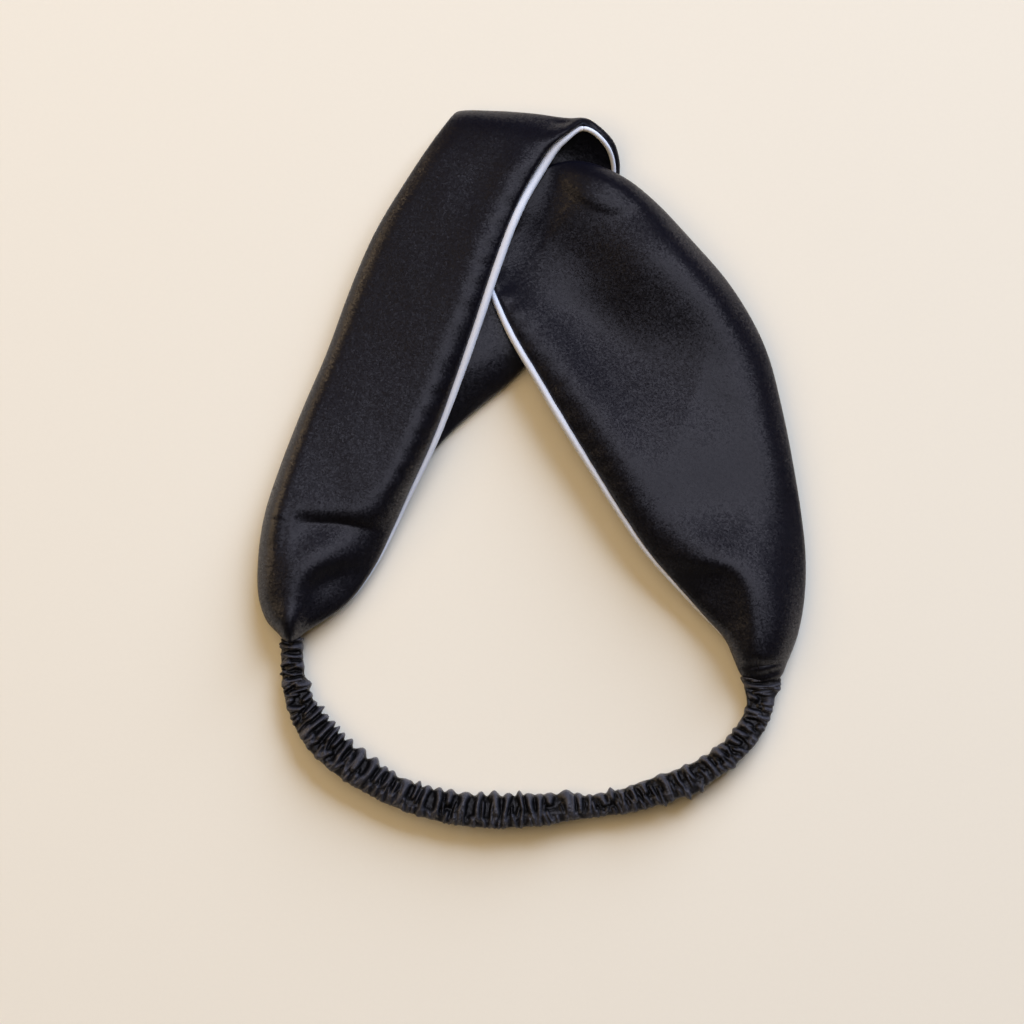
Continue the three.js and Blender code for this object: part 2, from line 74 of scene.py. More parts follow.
LEFT_SASH_ROWS = [
    # tongue, neck and gathers of the front leaf
    (-71.3, -53.6, 4.1, -68.1, -53.6, 4.1, 0, 1.6, 1.6, 1.1),
    (-71.5, -49.8, 4.1, -67.9, -49.8, 4.1, 0, 1.8, 1.8, 1.1),
    (-73.4, -47.8, 4.6, -66.6, -47.8, 4.6, 2.6, 2.4, 4.4, 1.4),
    (-76.8, -44.2, 4, -61.5, -44.6, 4.6, 4.6, 4.2, 9.5, 1.8),
    (-79.1, -37.5, 2.8, -52.8, -38.4, 4, 5.2, 4.6, 15, 2.2),
    (-79.3, -27, 2.6, -45.2, -28.2, 4, 7, 5.4, 18, 2.2),
    # front leaf
    (-77.5, -14, 2.4, -39.9, -18.2, 4.5, 8.6, 5, 13, 2.2),
    (-73, 0, 2, -34.4, -6.8, 6, 7.6, 5, 7, 2.2),
    (-66.3, 17, 2.2, -27.2, 7.8, 8, 6.4, 4.5, 6.5, 2.2),
    (-59, 34, 2.8, -20.6, 24.5, 10.2, 5, 4.5, 6, 2.2),
    (-52.8, 51, 3.6, -14.3, 42, 12.4, 4, 5, 6, 2.2),
    (-45.3, 68.3, 5, -8.6, 59, 13.4, 3.3, 5, 6, 2.2),
    (-35.8, 84, 6.6, -2, 76, 14.2, 2.6, 5, 6.5, 2.2),
    # open loop over the right sash
    (-28.1, 95.4, 7.6, 4.6, 88.2, 14.6, 2.2, 6, 7, 2.2),
    (-23.6, 101.2, 7, 9.6, 95.4, 14.2, 1.8, 6, 9, 2.2),
    (-22.3, 102.6, 4.4, 15.6, 100, 11.8, 1, 8, 8, 2.2),
    (-22.8, 101, 2, 23.2, 94.9, 9.2, 1.2, 8, 8, 2.2),
    (-18.5, 95, 1.6, 25.6, 86.2, 3.9, 0.6, 6, 6, 2.2),
    # back leaf, bunched where the right sash turns round it
    (-9, 84, 3.5, 22, 76, 3.6, 0, 4, 4, 2.2),
    (-9.5, 69, 3.5, 14.5, 61.5, 3.6, 0, 4, 4, 2.2),
    (-16.5, 53.5, 4.2, 6.5, 46, 3.2, -1.6, 4, 12, 2.2),
    (-27, 38, 5, -1.8, 29.6, 1.5, -4.2, 8, 14, 2.2),
    (-40, 24, 4, -14, 19.4, 1.3, -3.6, 8, 14, 2.2),
    (-52, 9, 2.4, -27, 7.5, 1.1, -0.6, 6, 8, 2.2),
    (-65, -13, 1.1, -43, -15, 1.1, 0, 4, 4, 2.2),
    (-71, -31, 1.1, -55, -32, 1.1, 0, 4, 4, 2.2),
    (-73, -43, 1.5, -64.5, -43, 1.5, 0, 3, 3, 1.8),
    (-72.4, -47.8, 2.4, -67.4, -47.8, 2.4, 0, 2.4, 2.4, 1.4),
    (-71.5, -49.8, 2.7, -67.9, -49.8, 2.7, 0, 1.8, 1.8, 1.1),
    (-71.3, -53.6, 2.7, -68.1, -53.6, 2.7, 0, 1.6, 1.6, 1.1),
]

RIGHT_SASH_ROWS = [
    # tongue, neck and gathers of the front leaf
    (63, -65.2, 4.1, 69.8, -65.2, 4.1, 0, 3.3, 3.3, 1.1),
    (62.9, -61.8, 4.1, 70.1, -61.8, 4.1, 0, 3.5, 3.5, 1.1),
    (60.6, -59.6, 4.6, 72.4, -60, 4.6, 2.4, 5.5, 5.5, 1.4),
    (58.7, -55.2, 4.6, 74, -56, 3.6, 5.9, 5, 7, 1.8),
    (55.6, -49, 4.8, 76.9, -48, 4.4, 7, 7.4, 9, 2.2),
    (49, -42.2, 5.2, 78.9, -37, 5, 7.3, 13, 13, 2.2),
    # front leaf
    (41.2, -34, 6, 79.2, -25, 5.4, 6.8, 17, 16, 2.2),
    (32.6, -24.4, 7, 77.8, -12, 5.8, 5.7, 13, 15, 2.2),
    (24.4, -12.8, 7.6, 75.7, 0.5, 6.2, 5, 9.5, 10.5, 2.2),
    (16.4, -0.4, 7.8, 72.4, 17, 6.2, 5.4, 10.5, 10, 2.2),
    (8.2, 12.4, 8.1, 67.3, 35.5, 6.4, 5.3, 12, 9.5, 2.2),
    (0.4, 25.6, 8.1, 57.6, 52.6, 7, 4.7, 11, 8, 2.2),
    (-7.2, 38.8, 8.3, 46.2, 65.8, 7.6, 3.2, 8, 6.5, 2.2),
    (-12.4, 50.6, 8.4, 35.2, 77.4, 7.8, 1.5, 5, 5, 2.2),
    # through the loop and round the back leaf of the left sash
    (-14.4, 56, 8, 25.6, 84.6, 9.1, 1.2, 5, 4.5, 2.2),
    (-17, 57, 8, 13, 89, 9, 0.8, 6, 4.5, 2.2),
    (-20.5, 56.5, 7.6, -1.5, 86, 8, 0.4, 6, 6, 2.2),
    (-24, 55.5, 4.6, -14.5, 80.5, 4.6, 0.4, 6, 6, 2.2),
    (-20.5, 54, 1.4, -11, 79.5, 1.4, 0, 6, 6, 2.2),
    # back leaf
    (-13, 49.5, 1.1, 4, 76, 1.1, 0, 4, 4, 2.2),
    (-3, 36, 1.1, 24, 63, 1.1, 0, 4, 4, 2.2),
    (9, 16, 1.1, 40, 42, 1.1, 0, 4, 4, 2.2),
    (24, -8, 1.1, 57, 13, 1.1, 0, 4, 4, 2.2),
    (39, -28, 1.1, 70, -13, 1.1, 0, 4, 4, 2.2),
    (53, -43, 1.1, 73.5, -36, 1.1, 0, 4, 4, 2.2),
    (60, -53.5, 1.5, 72.5, -52.5, 1.5, 0, 4, 4, 1.8),
    (61.6, -59.6, 2.4, 71.4, -60, 2.4, 0, 4.5, 4.5, 1.4),
    (62.9, -61.8, 2.7, 70.1, -61.8, 2.7, 0, 3.5, 3.5, 1.1),
    (63, -65.2, 2.7, 69.8, -65.2, 2.7, 0, 3.3, 3.3, 1.1),
]

# Folds of the front leaves, each a curve through nodes in plan: a ridge, or a valley where the
# height is below zero, that fades to both sides over its own widths. A node holds x, y, height,
# and the widths left and right of the curve's way.

LEFT_SASH_FOLDS = [
    [  # crease across the cloth above the gathers, steep above and long below
        (-69, -15, -0.4, 2.8, 8), (-64, -15.8, -1.8, 2.8, 10), (-55.7, -16.2, -2.4, 2.8, 11),
        (-48.5, -17.2, -2.1, 2.8, 10), (-43.5, -18.6, -0.8, 2.8, 8),
    ],
    [  # crest under it, turning down into the neck
        (-45.5, -23.2, 0.4, 3.6, 6), (-51.5, -24.4, 1.5, 3.8, 7), (-59.3, -26, 2.2, 4, 8),
        (-64.8, -29, 2.4, 4.2, 8), (-67.8, -33, 2.5, 4.6, 7), (-69, -38, 2.7, 4.6, 6),
        (-69.6, -46.5, 2.9, 2.6, 3.2),
    ],
    [  # hollow beside the neck
        (-62, -34.5, -0.4, 3, 4), (-57, -31.5, -0.8, 3.6, 7), (-50, -29, -0.4, 4, 7),
    ],
    [  # long shallow valley from the loop's upper edge
        (10.5, 101.5, -3.6, 4, 4), (5, 98.5, -1.3, 4, 5), (-3, 94.5, -0.5, 5, 6), (-11, 87, -0.4, 6, 6),
        (-19, 74, -0.3, 6, 6), (-26, 58, -0.1, 6, 6),
    ],
]

RIGHT_SASH_FOLDS = [
    [  # thin crease below the patch that comes out of the loop
        (4.5, 90, 0.3, 9, 1.6), (9, 85.2, 0.5, 10, 1.8), (13.5, 80.8, 0.7, 10, 2),
        (19, 77.2, 0.7, 10, 2), (25, 75.6, 0.5, 9, 1.8), (31, 77.4, 0.2, 6, 1.4),
    ],
    [  # crest from there along the outer edge
        (8, 89, 0.2, 12, 9), (13, 86, 1.2, 14, 11), (19, 81.5, 2.7, 14, 15), (27.5, 72, 4.2, 14, 15),
        (35, 62.5, 4.5, 13, 14), (42, 55.5, 3.6, 12, 13), (49.5, 48.5, 2.4, 10, 12),
        (54.5, 40, 1.2, 9, 11), (57.5, 30, 0.3, 8, 10),
    ],
    [  # valley where the long slope from that crest ends
        (-8, 68, -0.8, 14, 14), (-2, 61, -1.8, 18, 14), (5, 52.5, -3, 19, 14), (11.5, 45, -4.1, 19, 15),
        (19, 38.5, -4.3, 18, 20), (28, 32.5, -3.6, 17, 26), (39, 27.5, -2.2, 14, 22),
        (48, 24, -0.8, 12, 14),
    ],
    [  # low ridge along the piping
        (3, 42, 0.2, 8, 7), (9, 31, 0.9, 8, 7), (16, 19, 1.2, 8, 7), (23, 8, 0.8, 8, 7),
        (29, -1, 0.2, 8, 7),
    ],
    [  # slope down under the left sash
        (6.5, 90, -0.8, 8, 6), (0.5, 80, -1.8, 9, 8), (-4.5, 70, -2.2, 9, 8), (-8.5, 59, -1.8, 9, 8),
        (-12.5, 48, -0.5, 8, 6),
    ],
    [  # shoulder above the gathers, turning down into the neck
        (36, -23.5, 0.3, 8, 2.8), (48.7, -25.4, 1.4, 9, 2.6), (58, -27.6, 1.8, 10, 3),
        (62.6, -33, 1.7, 10, 4), (64.6, -42, 1.5, 9, 3.6), (65.2, -52, 1.1, 5, 2.6),
    ],
    [  # hollow beside the neck
        (44, -31.5, -0.6, 3, 4), (51, -35, -1.2, 4.5, 4), (57, -43, -0.8, 4, 3),
    ],
    [  # two pleats where the sleeve begins
        (61.8, -58.9, 0.5, 0.6, 0.7), (67, -58.3, 0.7, 0.6, 0.7), (72.8, -57, 0.4, 0.6, 0.7),
    ],
    [
        (61.8, -61, 0.4, 0.6, 0.7), (67, -60.4, 0.6, 0.6, 0.7), (72, -59.6, 0.3, 0.6, 0.7),
    ],
]

# ---------------------------------------------------------------- table of the casing

# Centre line of the ruched casing from the left neck to the right one, its size over the ruffles,
# the size of its channel, and how tightly it is gathered there, from 0 to 1.
CASING_COLUMNS = ("x", "y", "width", "height", "channel_width", "channel_height", "gather")

CASING_ROWS = [
    (-69.7, -50.2, 7, 6.8, 4.6, 3.6, 0.7),
    (-69.6, -54.4, 7.4, 6.8, 4.6, 3.4, 0.8),
    (-69.1, -60.5, 7.8, 7, 4.6, 1.8, 0.9),
    (-67.6, -67, 9, 7.6, 4.6, 1.8, 1),
    (-64.6, -73.2, 9.8, 8.2, 4.6, 1.8, 1),
    (-60.2, -79.2, 10.4, 8.8, 4.6, 1.8, 1),
    (-54, -84.8, 10.4, 8.8, 4.6, 1.8, 1),
    (-46, -90.2, 9.6, 8.4, 4.6, 1.8, 0.9),
    (-32, -96.4, 9.4, 8.2, 4.6, 1.8, 0.9),
    (-16, -99.2, 10.4, 8.6, 4.6, 1.8, 1),
    (1, -99, 10.2, 8.6, 4.6, 1.8, 0.9),
    (10, -98.2, 8.6, 8, 4.6, 1.8, 0.6),
    (18.3, -97.8, 7, 7, 4.6, 1.8, 0.4),
    (25.5, -96.6, 7.8, 7.6, 4.6, 1.8, 0.7),
    (32.8, -94.4, 9, 8.2, 4.6, 1.8, 0.8),
    (44.2, -90.4, 9, 8.2, 4.6, 1.8, 0.6),
    (54.6, -84.7, 8, 7.6, 4.6, 1.8, 0.5),
    (61.6, -77.8, 8, 7.2, 4.6, 1.8, 0.7),
    (65.2, -71.4, 8.6, 6.8, 6, 2.4, 0.8),
    (66.2, -67, 9, 6.8, 7.6, 3, 0.8),
    (66.4, -64, 11.8, 6.8, 9, 3.6, 0.8),
    (66.4, -61.4, 13, 7, 9, 3.6, 0.6),
]

# Highest points of the ruffles where they stand out in plan, and how pointed they are: below 1 is
# a broad round one. Smaller ones fill the stretches between.
CREST_COLUMNS = ("x", "y", "point")

INNER_CRESTS = [
    (-66.3, -51.8, 1), (-66.5, -54.3, 1.2), (-66.2, -56.8, 1), (-63.9, -62.2, 0.35),
    (-60.1, -68.9, 1.4), (-59.1, -71.6, 1.2), (-57.2, -73.3, 1.2), (-55.7, -74.7, 1.2),
    (-54.3, -76.7, 1.2), (-52, -78.4, 1), (-48.6, -81.1, 0.5), (-44.8, -83.8, 0.5),
    (-42.1, -86.5, 1), (-40.1, -87.6, 1.2), (-36, -90.2, 0.8), (-32.5, -90.5, 1.4),
    (-29.9, -91.9, 1), (-26.8, -92.4, 1.2), (-23.4, -92.9, 1), (-19, -93.8, 0.8),
    (-14.8, -93.6, 1.2), (-10.9, -93.3, 0.5), (-6.8, -94.1, 1.2), (-3.7, -93.3, 1.5),
    (-0.7, -94.2, 1), (2.1, -94.3, 1), (5, -94, 1), (10, -93.1, 0.4),
    (16.7, -94.5, 1.5), (22.6, -92.5, 0.9), (25.5, -93.2, 1.4), (28.4, -91.9, 1.3),
    (31.9, -90.8, 1), (37.1, -88.5, 0.7), (41.4, -87.5, 1.2), (44.3, -85.8, 1.2),
    (49.3, -83.4, 0.8), (52.6, -80.9, 0.5), (60.3, -73.4, 0.5), (61.7, -69.7, 0.9),
    (62.4, -65.6, 1), (61.6, -62.6, 1),
]

OUTER_CRESTS = [
    (-73.8, -52, 1.3), (-72.8, -56.2, 1.2), (-73.8, -59.8, 1.4), (-72.8, -64.2, 1.2),
    (-71.4, -68.2, 1), (39.1, -98.3, 0.8), (46.4, -96, 1), (49.5, -94, 0.8),
    (59.2, -86.7, 0.5), (67.1, -77.1, 0.6), (70.8, -66.2, 0.6), (72.5, -62.1, 1.2),
]

# ---------------------------------------------------------------- sizes and colours to change


def size(name, description, default):
    """A length property in metres."""
    return FloatProperty(name=name, description=description, default=default, min=0.0, unit="LENGTH")


def power(name, description, default):
    """A light's power in watts."""
    return FloatProperty(name=name, description=description, default=default, unit="POWER")


def colour(name, description, default):
    """A colour property, as linear red, green and blue."""
    return FloatVectorProperty(
        name=name, description=description, default=default, min=0.0, max=1.0, subtype="COLOR"
    )


class HeadbandSizes(bpy.types.PropertyGroup):
    """Sizes of the piping, the cloth's own unevenness and the ruffles."""

    piping_diameter: size("Piping", "Diameter of the piping", 0.0026)
    rim_round: size("Rim", "Distance over which a cloth edge rounds off", 0.0016)
    ripple: size("Ripple", "Height of the soft unevenness of the cloth", 0.00012)
    pucker: size("Pucker", "Height of the puckers along the piping's seam", 0.00010)
    ruffle_pitch: size("Ruffle pitch", "Mean distance between two ruffles", 0.0028)
    scallop_pitch: size("Scallop pitch", "Mean distance between two scallops of the hem", 0.0016)
    wrinkle_pitch: size("Wrinkle pitch", "Mean distance between two short folds on top", 0.0015)


class HeadbandColours(bpy.types.PropertyGroup):
    """Colours of the cloths."""

    satin: colour("Satin", "Sashes", (0.0022, 0.0023, 0.0056))
    # Painted sheen: the casing's colour is a far lighter copy of the sashes' black satin, so that its crests
    # read bright, and the material darkens it in the pockets as painted shade.
    ruched: colour("Ruched satin", "Crests of the casing's gathers", (0.037, 0.038, 0.051))
    piping: colour("Piping", "Piping along the inner edges", (0.66, 0.70, 0.84))
    elastic: colour("Elastic", "Hidden elastic tape", (0.020, 0.020, 0.022))


class StudioSettings(bpy.types.PropertyGroup):
    """Floor, lights and camera."""

    floor: colour("Floor", "Paper that the headband lies on", (0.84, 0.80, 0.73))
    key_colour: colour("Key colour", "Colour of the window light", (0.74, 0.84, 1.0))
    top_colour: colour("Top colour", "Colour of the soft box overhead", (0.93, 0.94, 1.0))
    fill_colour: colour("Fill colour", "Colour of the light that the room returns", (1.0, 0.74, 0.42))
    key_power: power("Key power", "Power of the window light", 252.0)
    top_power: power("Top power", "Power of the soft box overhead", 8.0)
    fill_power: power("Fill power", "Power of the light that the room returns", 28.5)
    card_power: power("Card power", "Power of the card at the left", 10.0)
    room: FloatProperty(name="Room", description="Strength of the dim room all round", default=0.03)
    key_size: size("Key size", "Side of the square window light", 2.8)
    top_size: size("Top size", "Width of the soft box overhead", 0.8)
    top_length: size("Top length", "Length of the soft box overhead", 1.5)
    fill_size: size("Fill size", "Side of the square light that the room returns", 2.4)
    camera_height: size("Camera height", "Height of the camera above the floor", 1.2)
    view_width: size("View width", "Width that the camera sees at the headband", 0.297)


# ---------------------------------------------------------------- curves and meshes


LEAST_LENGTH, LEAST_STEP = 1e-12, 1e-6  # keep a division by a length or a step from failing


def unit(vectors):
    """Each vector divided by its own length."""
    return vectors / np.maximum(np.linalg.norm(vectors, axis=-1, keepdims=True), LEAST_LENGTH)


def smoothstep(values, low, high):
    """0 below low, 1 above high, and 3t^2 - 2t^3 between them."""
    share = np.clip((values - low) / (high - low), 0.0, 1.0)
    return share * share * (3.0 - 2.0 * share)


def read_table(columns, rows):
    """One array a column, under the column's name."""
    return dict(zip(columns, np.array(rows, float).T))


def spline(points, places, weighting=0.5):
    """Catmull-Rom curve through points, read at row numbers places.

    Between two rows it is the cubic whose slopes at both ends come from the rows before and
    after, where the time between rows is their distance to the power weighting.
    """
    extended = np.vstack([2 * points[0] - points[1], points, 2 * points[-1] - points[-2]])
    index = np.clip(places.astype(int), 0, len(points) - 2)
    share = (places - index)[:, None]
    before, start, end, after = (extended[index + k] for k in range(4))

    def lapse(a, b):
        distance = np.linalg.norm(b - a, axis=1, keepdims=True)
        return np.maximum(distance, LEAST_STEP) ** weighting

    first, middle, last = lapse(before, start), lapse(start, end), lapse(end, after)
    leave = (start - before) / first - (end - before) / (first + middle) + (end - start) / middle
    arrive = (end - start) / middle - (after - start) / (middle + last) + (after - end) / last
    leave, arrive = leave * middle, arrive * middle
    square = 3 * (end - start) - 2 * leave - arrive
    cube = 2 * (start - end) + leave + arrive
    return start + leave * share + square * share**2 + cube * share**3


def column_at(table, name, places):
    """A column's value at row numbers places, on an even Catmull-Rom curve."""
    return spline(table[name][:, None], places, weighting=0.0)[:, 0]


def heading(points, places, step=0.02):
    """Direction of the curve at row numbers places."""
    last = len(points) - 1
    ahead = spline(points, np.clip(places + step, 0, last))
    behind = spline(points, np.clip(places - step, 0, last))
    return unit(ahead - behind)


def eased(values, reach):
    """Each row averaged with its neighbours up to reach rows away, near ones counting most."""
    weights = np.hanning(2 * reach + 3)[1:-1]
    weights /= weights.sum()
    padded = np.concatenate([np.repeat(values[:1], reach, 0), values, np.repeat(values[-1:], reach, 0)])
    return sum(w * padded[k : k + len(values)] for k, w in enumerate(weights))


def angles_round(points):
    """Even angles all round a ring."""
    return np.linspace(0, 2 * math.pi, points, endpoint=False)


def lengths_along(path):
    """Distance of each point of a path from its start, along the path."""
    return np.concatenate([[0], np.cumsum(np.linalg.norm(np.diff(path, axis=0), axis=1))])


def ring_faces(rings, points, start=0):
    """Four-cornered faces between neighbouring rings of equally many points."""
    ring, point = np.meshgrid(np.arange(rings - 1), np.arange(points), indexing="ij")
    following = (point + 1) % points
    corners = (
        ring * points + point,
        (ring + 1) * points + point,
        (ring + 1) * points + following,
        ring * points + following,
    )
    return start + np.stack(corners, -1).reshape(-1, 4)


def closed_faces(rings, points):
    """Faces of a tube with both ends closed, where opposite points of an end ring join in pairs."""
    near = np.arange(points // 2 - 1)
    far = points - 1 - near
    end = np.stack([near, near + 1, far - 1, far], -1)
    return np.concatenate([ring_faces(rings, points), end, (rings - 1) * points + end[:, ::-1]])


def add_piece(name, vertices, faces, uv=None):
    """Smooth mesh object in the scene from vertices in metres, its faces turned outwards.

    The sign of the volume, a sixth of the sum of a . (b x c) over the faces' triangles, tells
    whether they point in.
    """
    a, b, c, d = (vertices[faces[:, k]] for k in range(4))
    volume = np.sum(a * (np.cross(b, c) + np.cross(c, d)))
    if volume < 0:
        faces = faces[:, ::-1]
    mesh = bpy.data.meshes.new(name)
    mesh.vertices.add(len(vertices))
    mesh.vertices.foreach_set("co", vertices.astype(np.float32).ravel())
    mesh.loops.add(faces.size)
    mesh.loops.foreach_set("vertex_index", faces.astype(np.int32).ravel())
    mesh.polygons.add(len(faces))
    mesh.polygons.foreach_set("loop_start", np.arange(0, faces.size, 4, dtype=np.int32))
    mesh.polygons.foreach_set("use_smooth", np.ones(len(faces), bool))
    if uv is not None:
        layer = mesh.uv_layers.new(name="cloth")
        layer.data.foreach_set("uv", uv[faces.ravel()].astype(np.float32).ravel())
    mesh.update(calc_edges=True)
    mesh.validate()
    piece = bpy.data.objects.new(name, mesh)
    bpy.context.scene.collection.objects.link(piece)
    return piece


def finish_piece(piece, material, slot, *nodes):
    """Gives a piece its material and its body, and hides the CAD nodes that it stands for. The slot is not
    used.
    """
    piece.data.materials.append(material)
    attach(piece, "root")
    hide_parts(*nodes)


# ---------------------------------------------------------------- sashes

# Piping runs from one row to another, its size after a list of shares. Between the loop's rows it
# sinks to the inside of the cloth, and raised lifts all of it. A sash's folds end between the rows
# of fold_fade. Flat is the size of its doubled cloth laid out, and area what remains after it is
# cut narrower towards the necks, in metres.
Piping = namedtuple("Piping", "from_row to_row shares loop_from_row loop_to_row raised")
Sash = namedtuple("Sash", "name table folds fold_fade piped_side front_rows piping seed flat area")

# Size of each piping along its edge, as a row number and a share of the full size.
LEFT_PIPING_SHARES = [
    (3, 0), (4, 0.16), (5, 0.25), (6, 0.44), (7, 0.62), (8, 0.8), (9, 0.92), (10, 1),
    (13.4, 1), (14.4, 0.76), (15.1, 0.58), (17, 0.5),
]
RIGHT_PIPING_SHARES = [(3, 0), (4, 0.2), (6, 0.46), (8, 0.68), (9, 0.78), (10, 0.88), (11, 0.88), (13, 0.66)]

LEFT_SASH = Sash(
    name="left_sash",
    table=read_table(SASH_COLUMNS, LEFT_SASH_ROWS),
    folds=LEFT_SASH_FOLDS,
    fold_fade=(14.4, 15.6),
    piped_side="right",
    front_rows=14,
    piping=Piping(4, 17.2, LEFT_PIPING_SHARES, 11.4, 12.9, 0.0),
    seed=11,
    flat=(0.047, 0.353),
    area=0.0106,
)
RIGHT_SASH = Sash(
    name="right_sash",
    table=read_table(SASH_COLUMNS, RIGHT_SASH_ROWS),
    folds=RIGHT_SASH_FOLDS,
    fold_fade=(14.5, 16.3),
    piped_side="left",
    front_rows=13,
    piping=Piping(4, 14.5, RIGHT_PIPING_SHARES, math.inf, math.inf, 0.65),
    seed=23,
    flat=(0.064, 0.345),
    area=0.0137,
)

ROLL_POWER = 3.0  # how squarely the cloth rolls down at its long edges
ROLL_REACH = 1.36  # how far a roll reaches from the edge, as a share of the table's value
LEAST_ROLL = 0.5
LOOP_CLOTH_DELAY = 1.8  # rows by which the cloth edge follows the piping into the loop
SEAM_SHARE = 0.88  # how far the cloth stops short of the piping's outer side, in diameters
FINE_RINGS = 24  # sections a row on the front leaf and round the turn
COARSE_RINGS = 11  # sections a row on the back leaf
TURN_ROWS = 4  # rows of the turn that follow the front leaf
FOLD_STEPS = 24  # steps along a fold between two of its nodes
SIDE_POINTS = 84  # points across the cloth, on each of its sides
EVEN_SHARE = 0.45  # how evenly they lie: the rest of their spacing crowds them to the edges
EDGE_EASE, COLUMN_EASE = FINE_RINGS // 3, FINE_RINGS // 2  # rings over which edges and columns even out
RIPPLE_LENGTHS = (57, 43, 31, 23, 17)
RIPPLE_DRIFT, RIPPLE_DRIFT_LENGTH = 1.2, 2.7  # how far a wave wanders, and over how many of its lengths
PUCKER_MIDDLE, PUCKER_REACH, PUCKER_LENGTH = 2.5, 3.0, 7.3  # from the piped edge, across and along
PUCKER_DRIFT, PUCKER_DRIFT_LENGTH = 1.9, 9.1
PUCKERED_FROM = (0.1, 0.6)  # sizes of the piping where puckers begin and are full


def sash_edges(sash, rows):
    """Both long edges at row numbers rows, the direction across and the way the cloth bulges.

    The cloth bulges along the cross product of the direction across and the edges' heading.
    """
    left_line, right_line = (
        np.column_stack([sash.table[f"{side}_{axis}"] for axis in "xyz"])
        for side in ("left", "right")
    )
    left, right = spline(left_line, rows), spline(right_line, rows)
    across = unit(right - left)
    ahead = heading(left_line, rows) + heading(right_line, rows)
    return left, right, across, unit(np.cross(across, ahead))


def piping_share(sash, rows):
    """Size of the piping as a share of its full size: it thins towards the neck."""
    at_rows, shares = np.array(sash.piping.shares, float).T
    ended = smoothstep(rows, sash.piping.to_row, sash.piping.to_row + 1)
    return np.interp(rows, at_rows, shares) * (1 - ended)


def round_the_loop(sash, rows):
    """From 0, where the piping lies beside the cloth edge, to 1, inside the open loop."""
    if math.isinf(sash.piping.loop_from_row):
        return np.zeros_like(rows)
    return smoothstep(rows, sash.piping.loop_from_row, sash.piping.loop_to_row)


def fold_heights(folds, plan):
    """Sum of soft ridges at points of a plan.

    Each is height times exp(-(d/width)^2), where d is the distance from the nearest of many steps
    along the fold's curve, and the width depends on which side of the curve the point lies.
    """
    total = np.zeros(plan.shape[:-1])
    for nodes in folds:
        nodes = np.array(nodes, float)
        steps = spline(nodes, np.linspace(0, len(nodes) - 1, FOLD_STEPS * (len(nodes) - 1) + 1))
        x, y, height, left_width, right_width = steps.T
        offset_x, offset_y = plan[..., :1] - x, plan[..., 1:] - y
        distance = np.hypot(offset_x, offset_y)
        nearest = distance.argmin(-1)
        at_nearest = nearest[..., None]
        aside = np.take_along_axis(np.gradient(x) * offset_y - np.gradient(y) * offset_x, at_nearest, -1)
        width = np.where(aside[..., 0] > 0, left_width[nearest], right_width[nearest])
        distance = np.take_along_axis(distance, at_nearest, -1)[..., 0]
        total += height[nearest] * np.exp(-((distance / width) ** 2))
    return total


def ripples(cloth, seed):
    """Soft unevenness of sewn cloth, about -1 to 1.

    It is a sum of plane waves, sin(2 pi d / length + phase + drift), each with a heading and a
    phase of its own, where d is the distance along that heading.
    """
    random = np.random.default_rng(seed)
    total = np.zeros(cloth.shape[:-1])
    for length in RIPPLE_LENGTHS:
        turn, phase, bend = random.uniform(0, 2 * math.pi, 3)
        direction = np.array([math.cos(turn), math.sin(turn)])
        sideways = np.array([-direction[1], direction[0]])
        wander = cloth @ sideways * (2 * math.pi / (RIPPLE_DRIFT_LENGTH * length))
        drift = RIPPLE_DRIFT * np.sin(wander + bend)
        total += np.sin(cloth @ direction * (2 * math.pi / length) + phase + drift)
    return total / math.sqrt(len(RIPPLE_LENGTHS))


def rolled(sash, rows, cloth):
    """How far the cloth has risen from its edges, 0 at both of them and 1 on the flat between.

    From each edge it rises as 1 - (1 - d/w)^power, where d is the distance from the edge and w
    the reach of the roll there.
    """
    half = np.abs(cloth[:, :1, 0])
    rise = 1.0
    for column, from_edge in (("left_roll", half + cloth[..., 0]), ("right_roll", half - cloth[..., 0])):
        roll = np.maximum(eased(column_at(sash.table, column, rows), COLUMN_EASE), LEAST_ROLL)
        reach = ROLL_REACH * roll[:, None]
        rise = rise * (1 - (1 - np.clip(from_edge / reach, 0, 1)) ** ROLL_POWER)
    return rise


def sash_middle(sash, rows, shares, sizes):
    """Middle surface of a sash as a grid of points, in millimetres, and its cloth coordinates.

    A point is the straight mix of both edges at share v, moved along the bulge direction by
    the crown, the folds and the ripples, all times the rise from the edges. The piped edge is
    drawn in to make room for the piping.
    """
    left, right, across, out = sash_edges(sash, rows)
    room = piping_share(sash, rows) * sizes.piping_diameter / MM * SEAM_SHARE
    drawn_in = (room * (1 - round_the_loop(sash, rows - LOOP_CLOTH_DELAY)))[:, None] * across
    if sash.piped_side == "left":
        left = left + drawn_in
    else:
        right = right - drawn_in
    left, right, out = (eased(line, EDGE_EASE) for line in (left, right, out))
    crown = eased(column_at(sash.table, "crown", rows), COLUMN_EASE)
    grid = left[:, None] + (right - left)[:, None] * shares[None, :, None]
    cloth = cloth_coordinates(left, right, shares)
    front = 1 - smoothstep(rows, *sash.fold_fade)
    folds = fold_heights(sash.folds, grid[..., :2]) * front[:, None]
    uneven = ripples(cloth, sash.seed) * sizes.ripple / MM
    bulge = (crown[:, None] + folds + uneven) * rolled(sash, rows, cloth)
    bulge = bulge + seam_puckers(sash, rows, cloth, shares, sizes)
    return grid + out[:, None] * bulge[..., None], cloth


def cloth_coordinates(left, right, shares):
    """Place of each point in the flat cloth, in millimetres: across from the middle, and along."""
    middle = (left + right) / 2
    along = lengths_along(middle)
    width = np.linalg.norm(right - left, axis=1)
    across = (shares[None, :] - 0.5) * width[:, None]
    return np.stack([across, np.broadcast_to(along[:, None], across.shape)], -1)


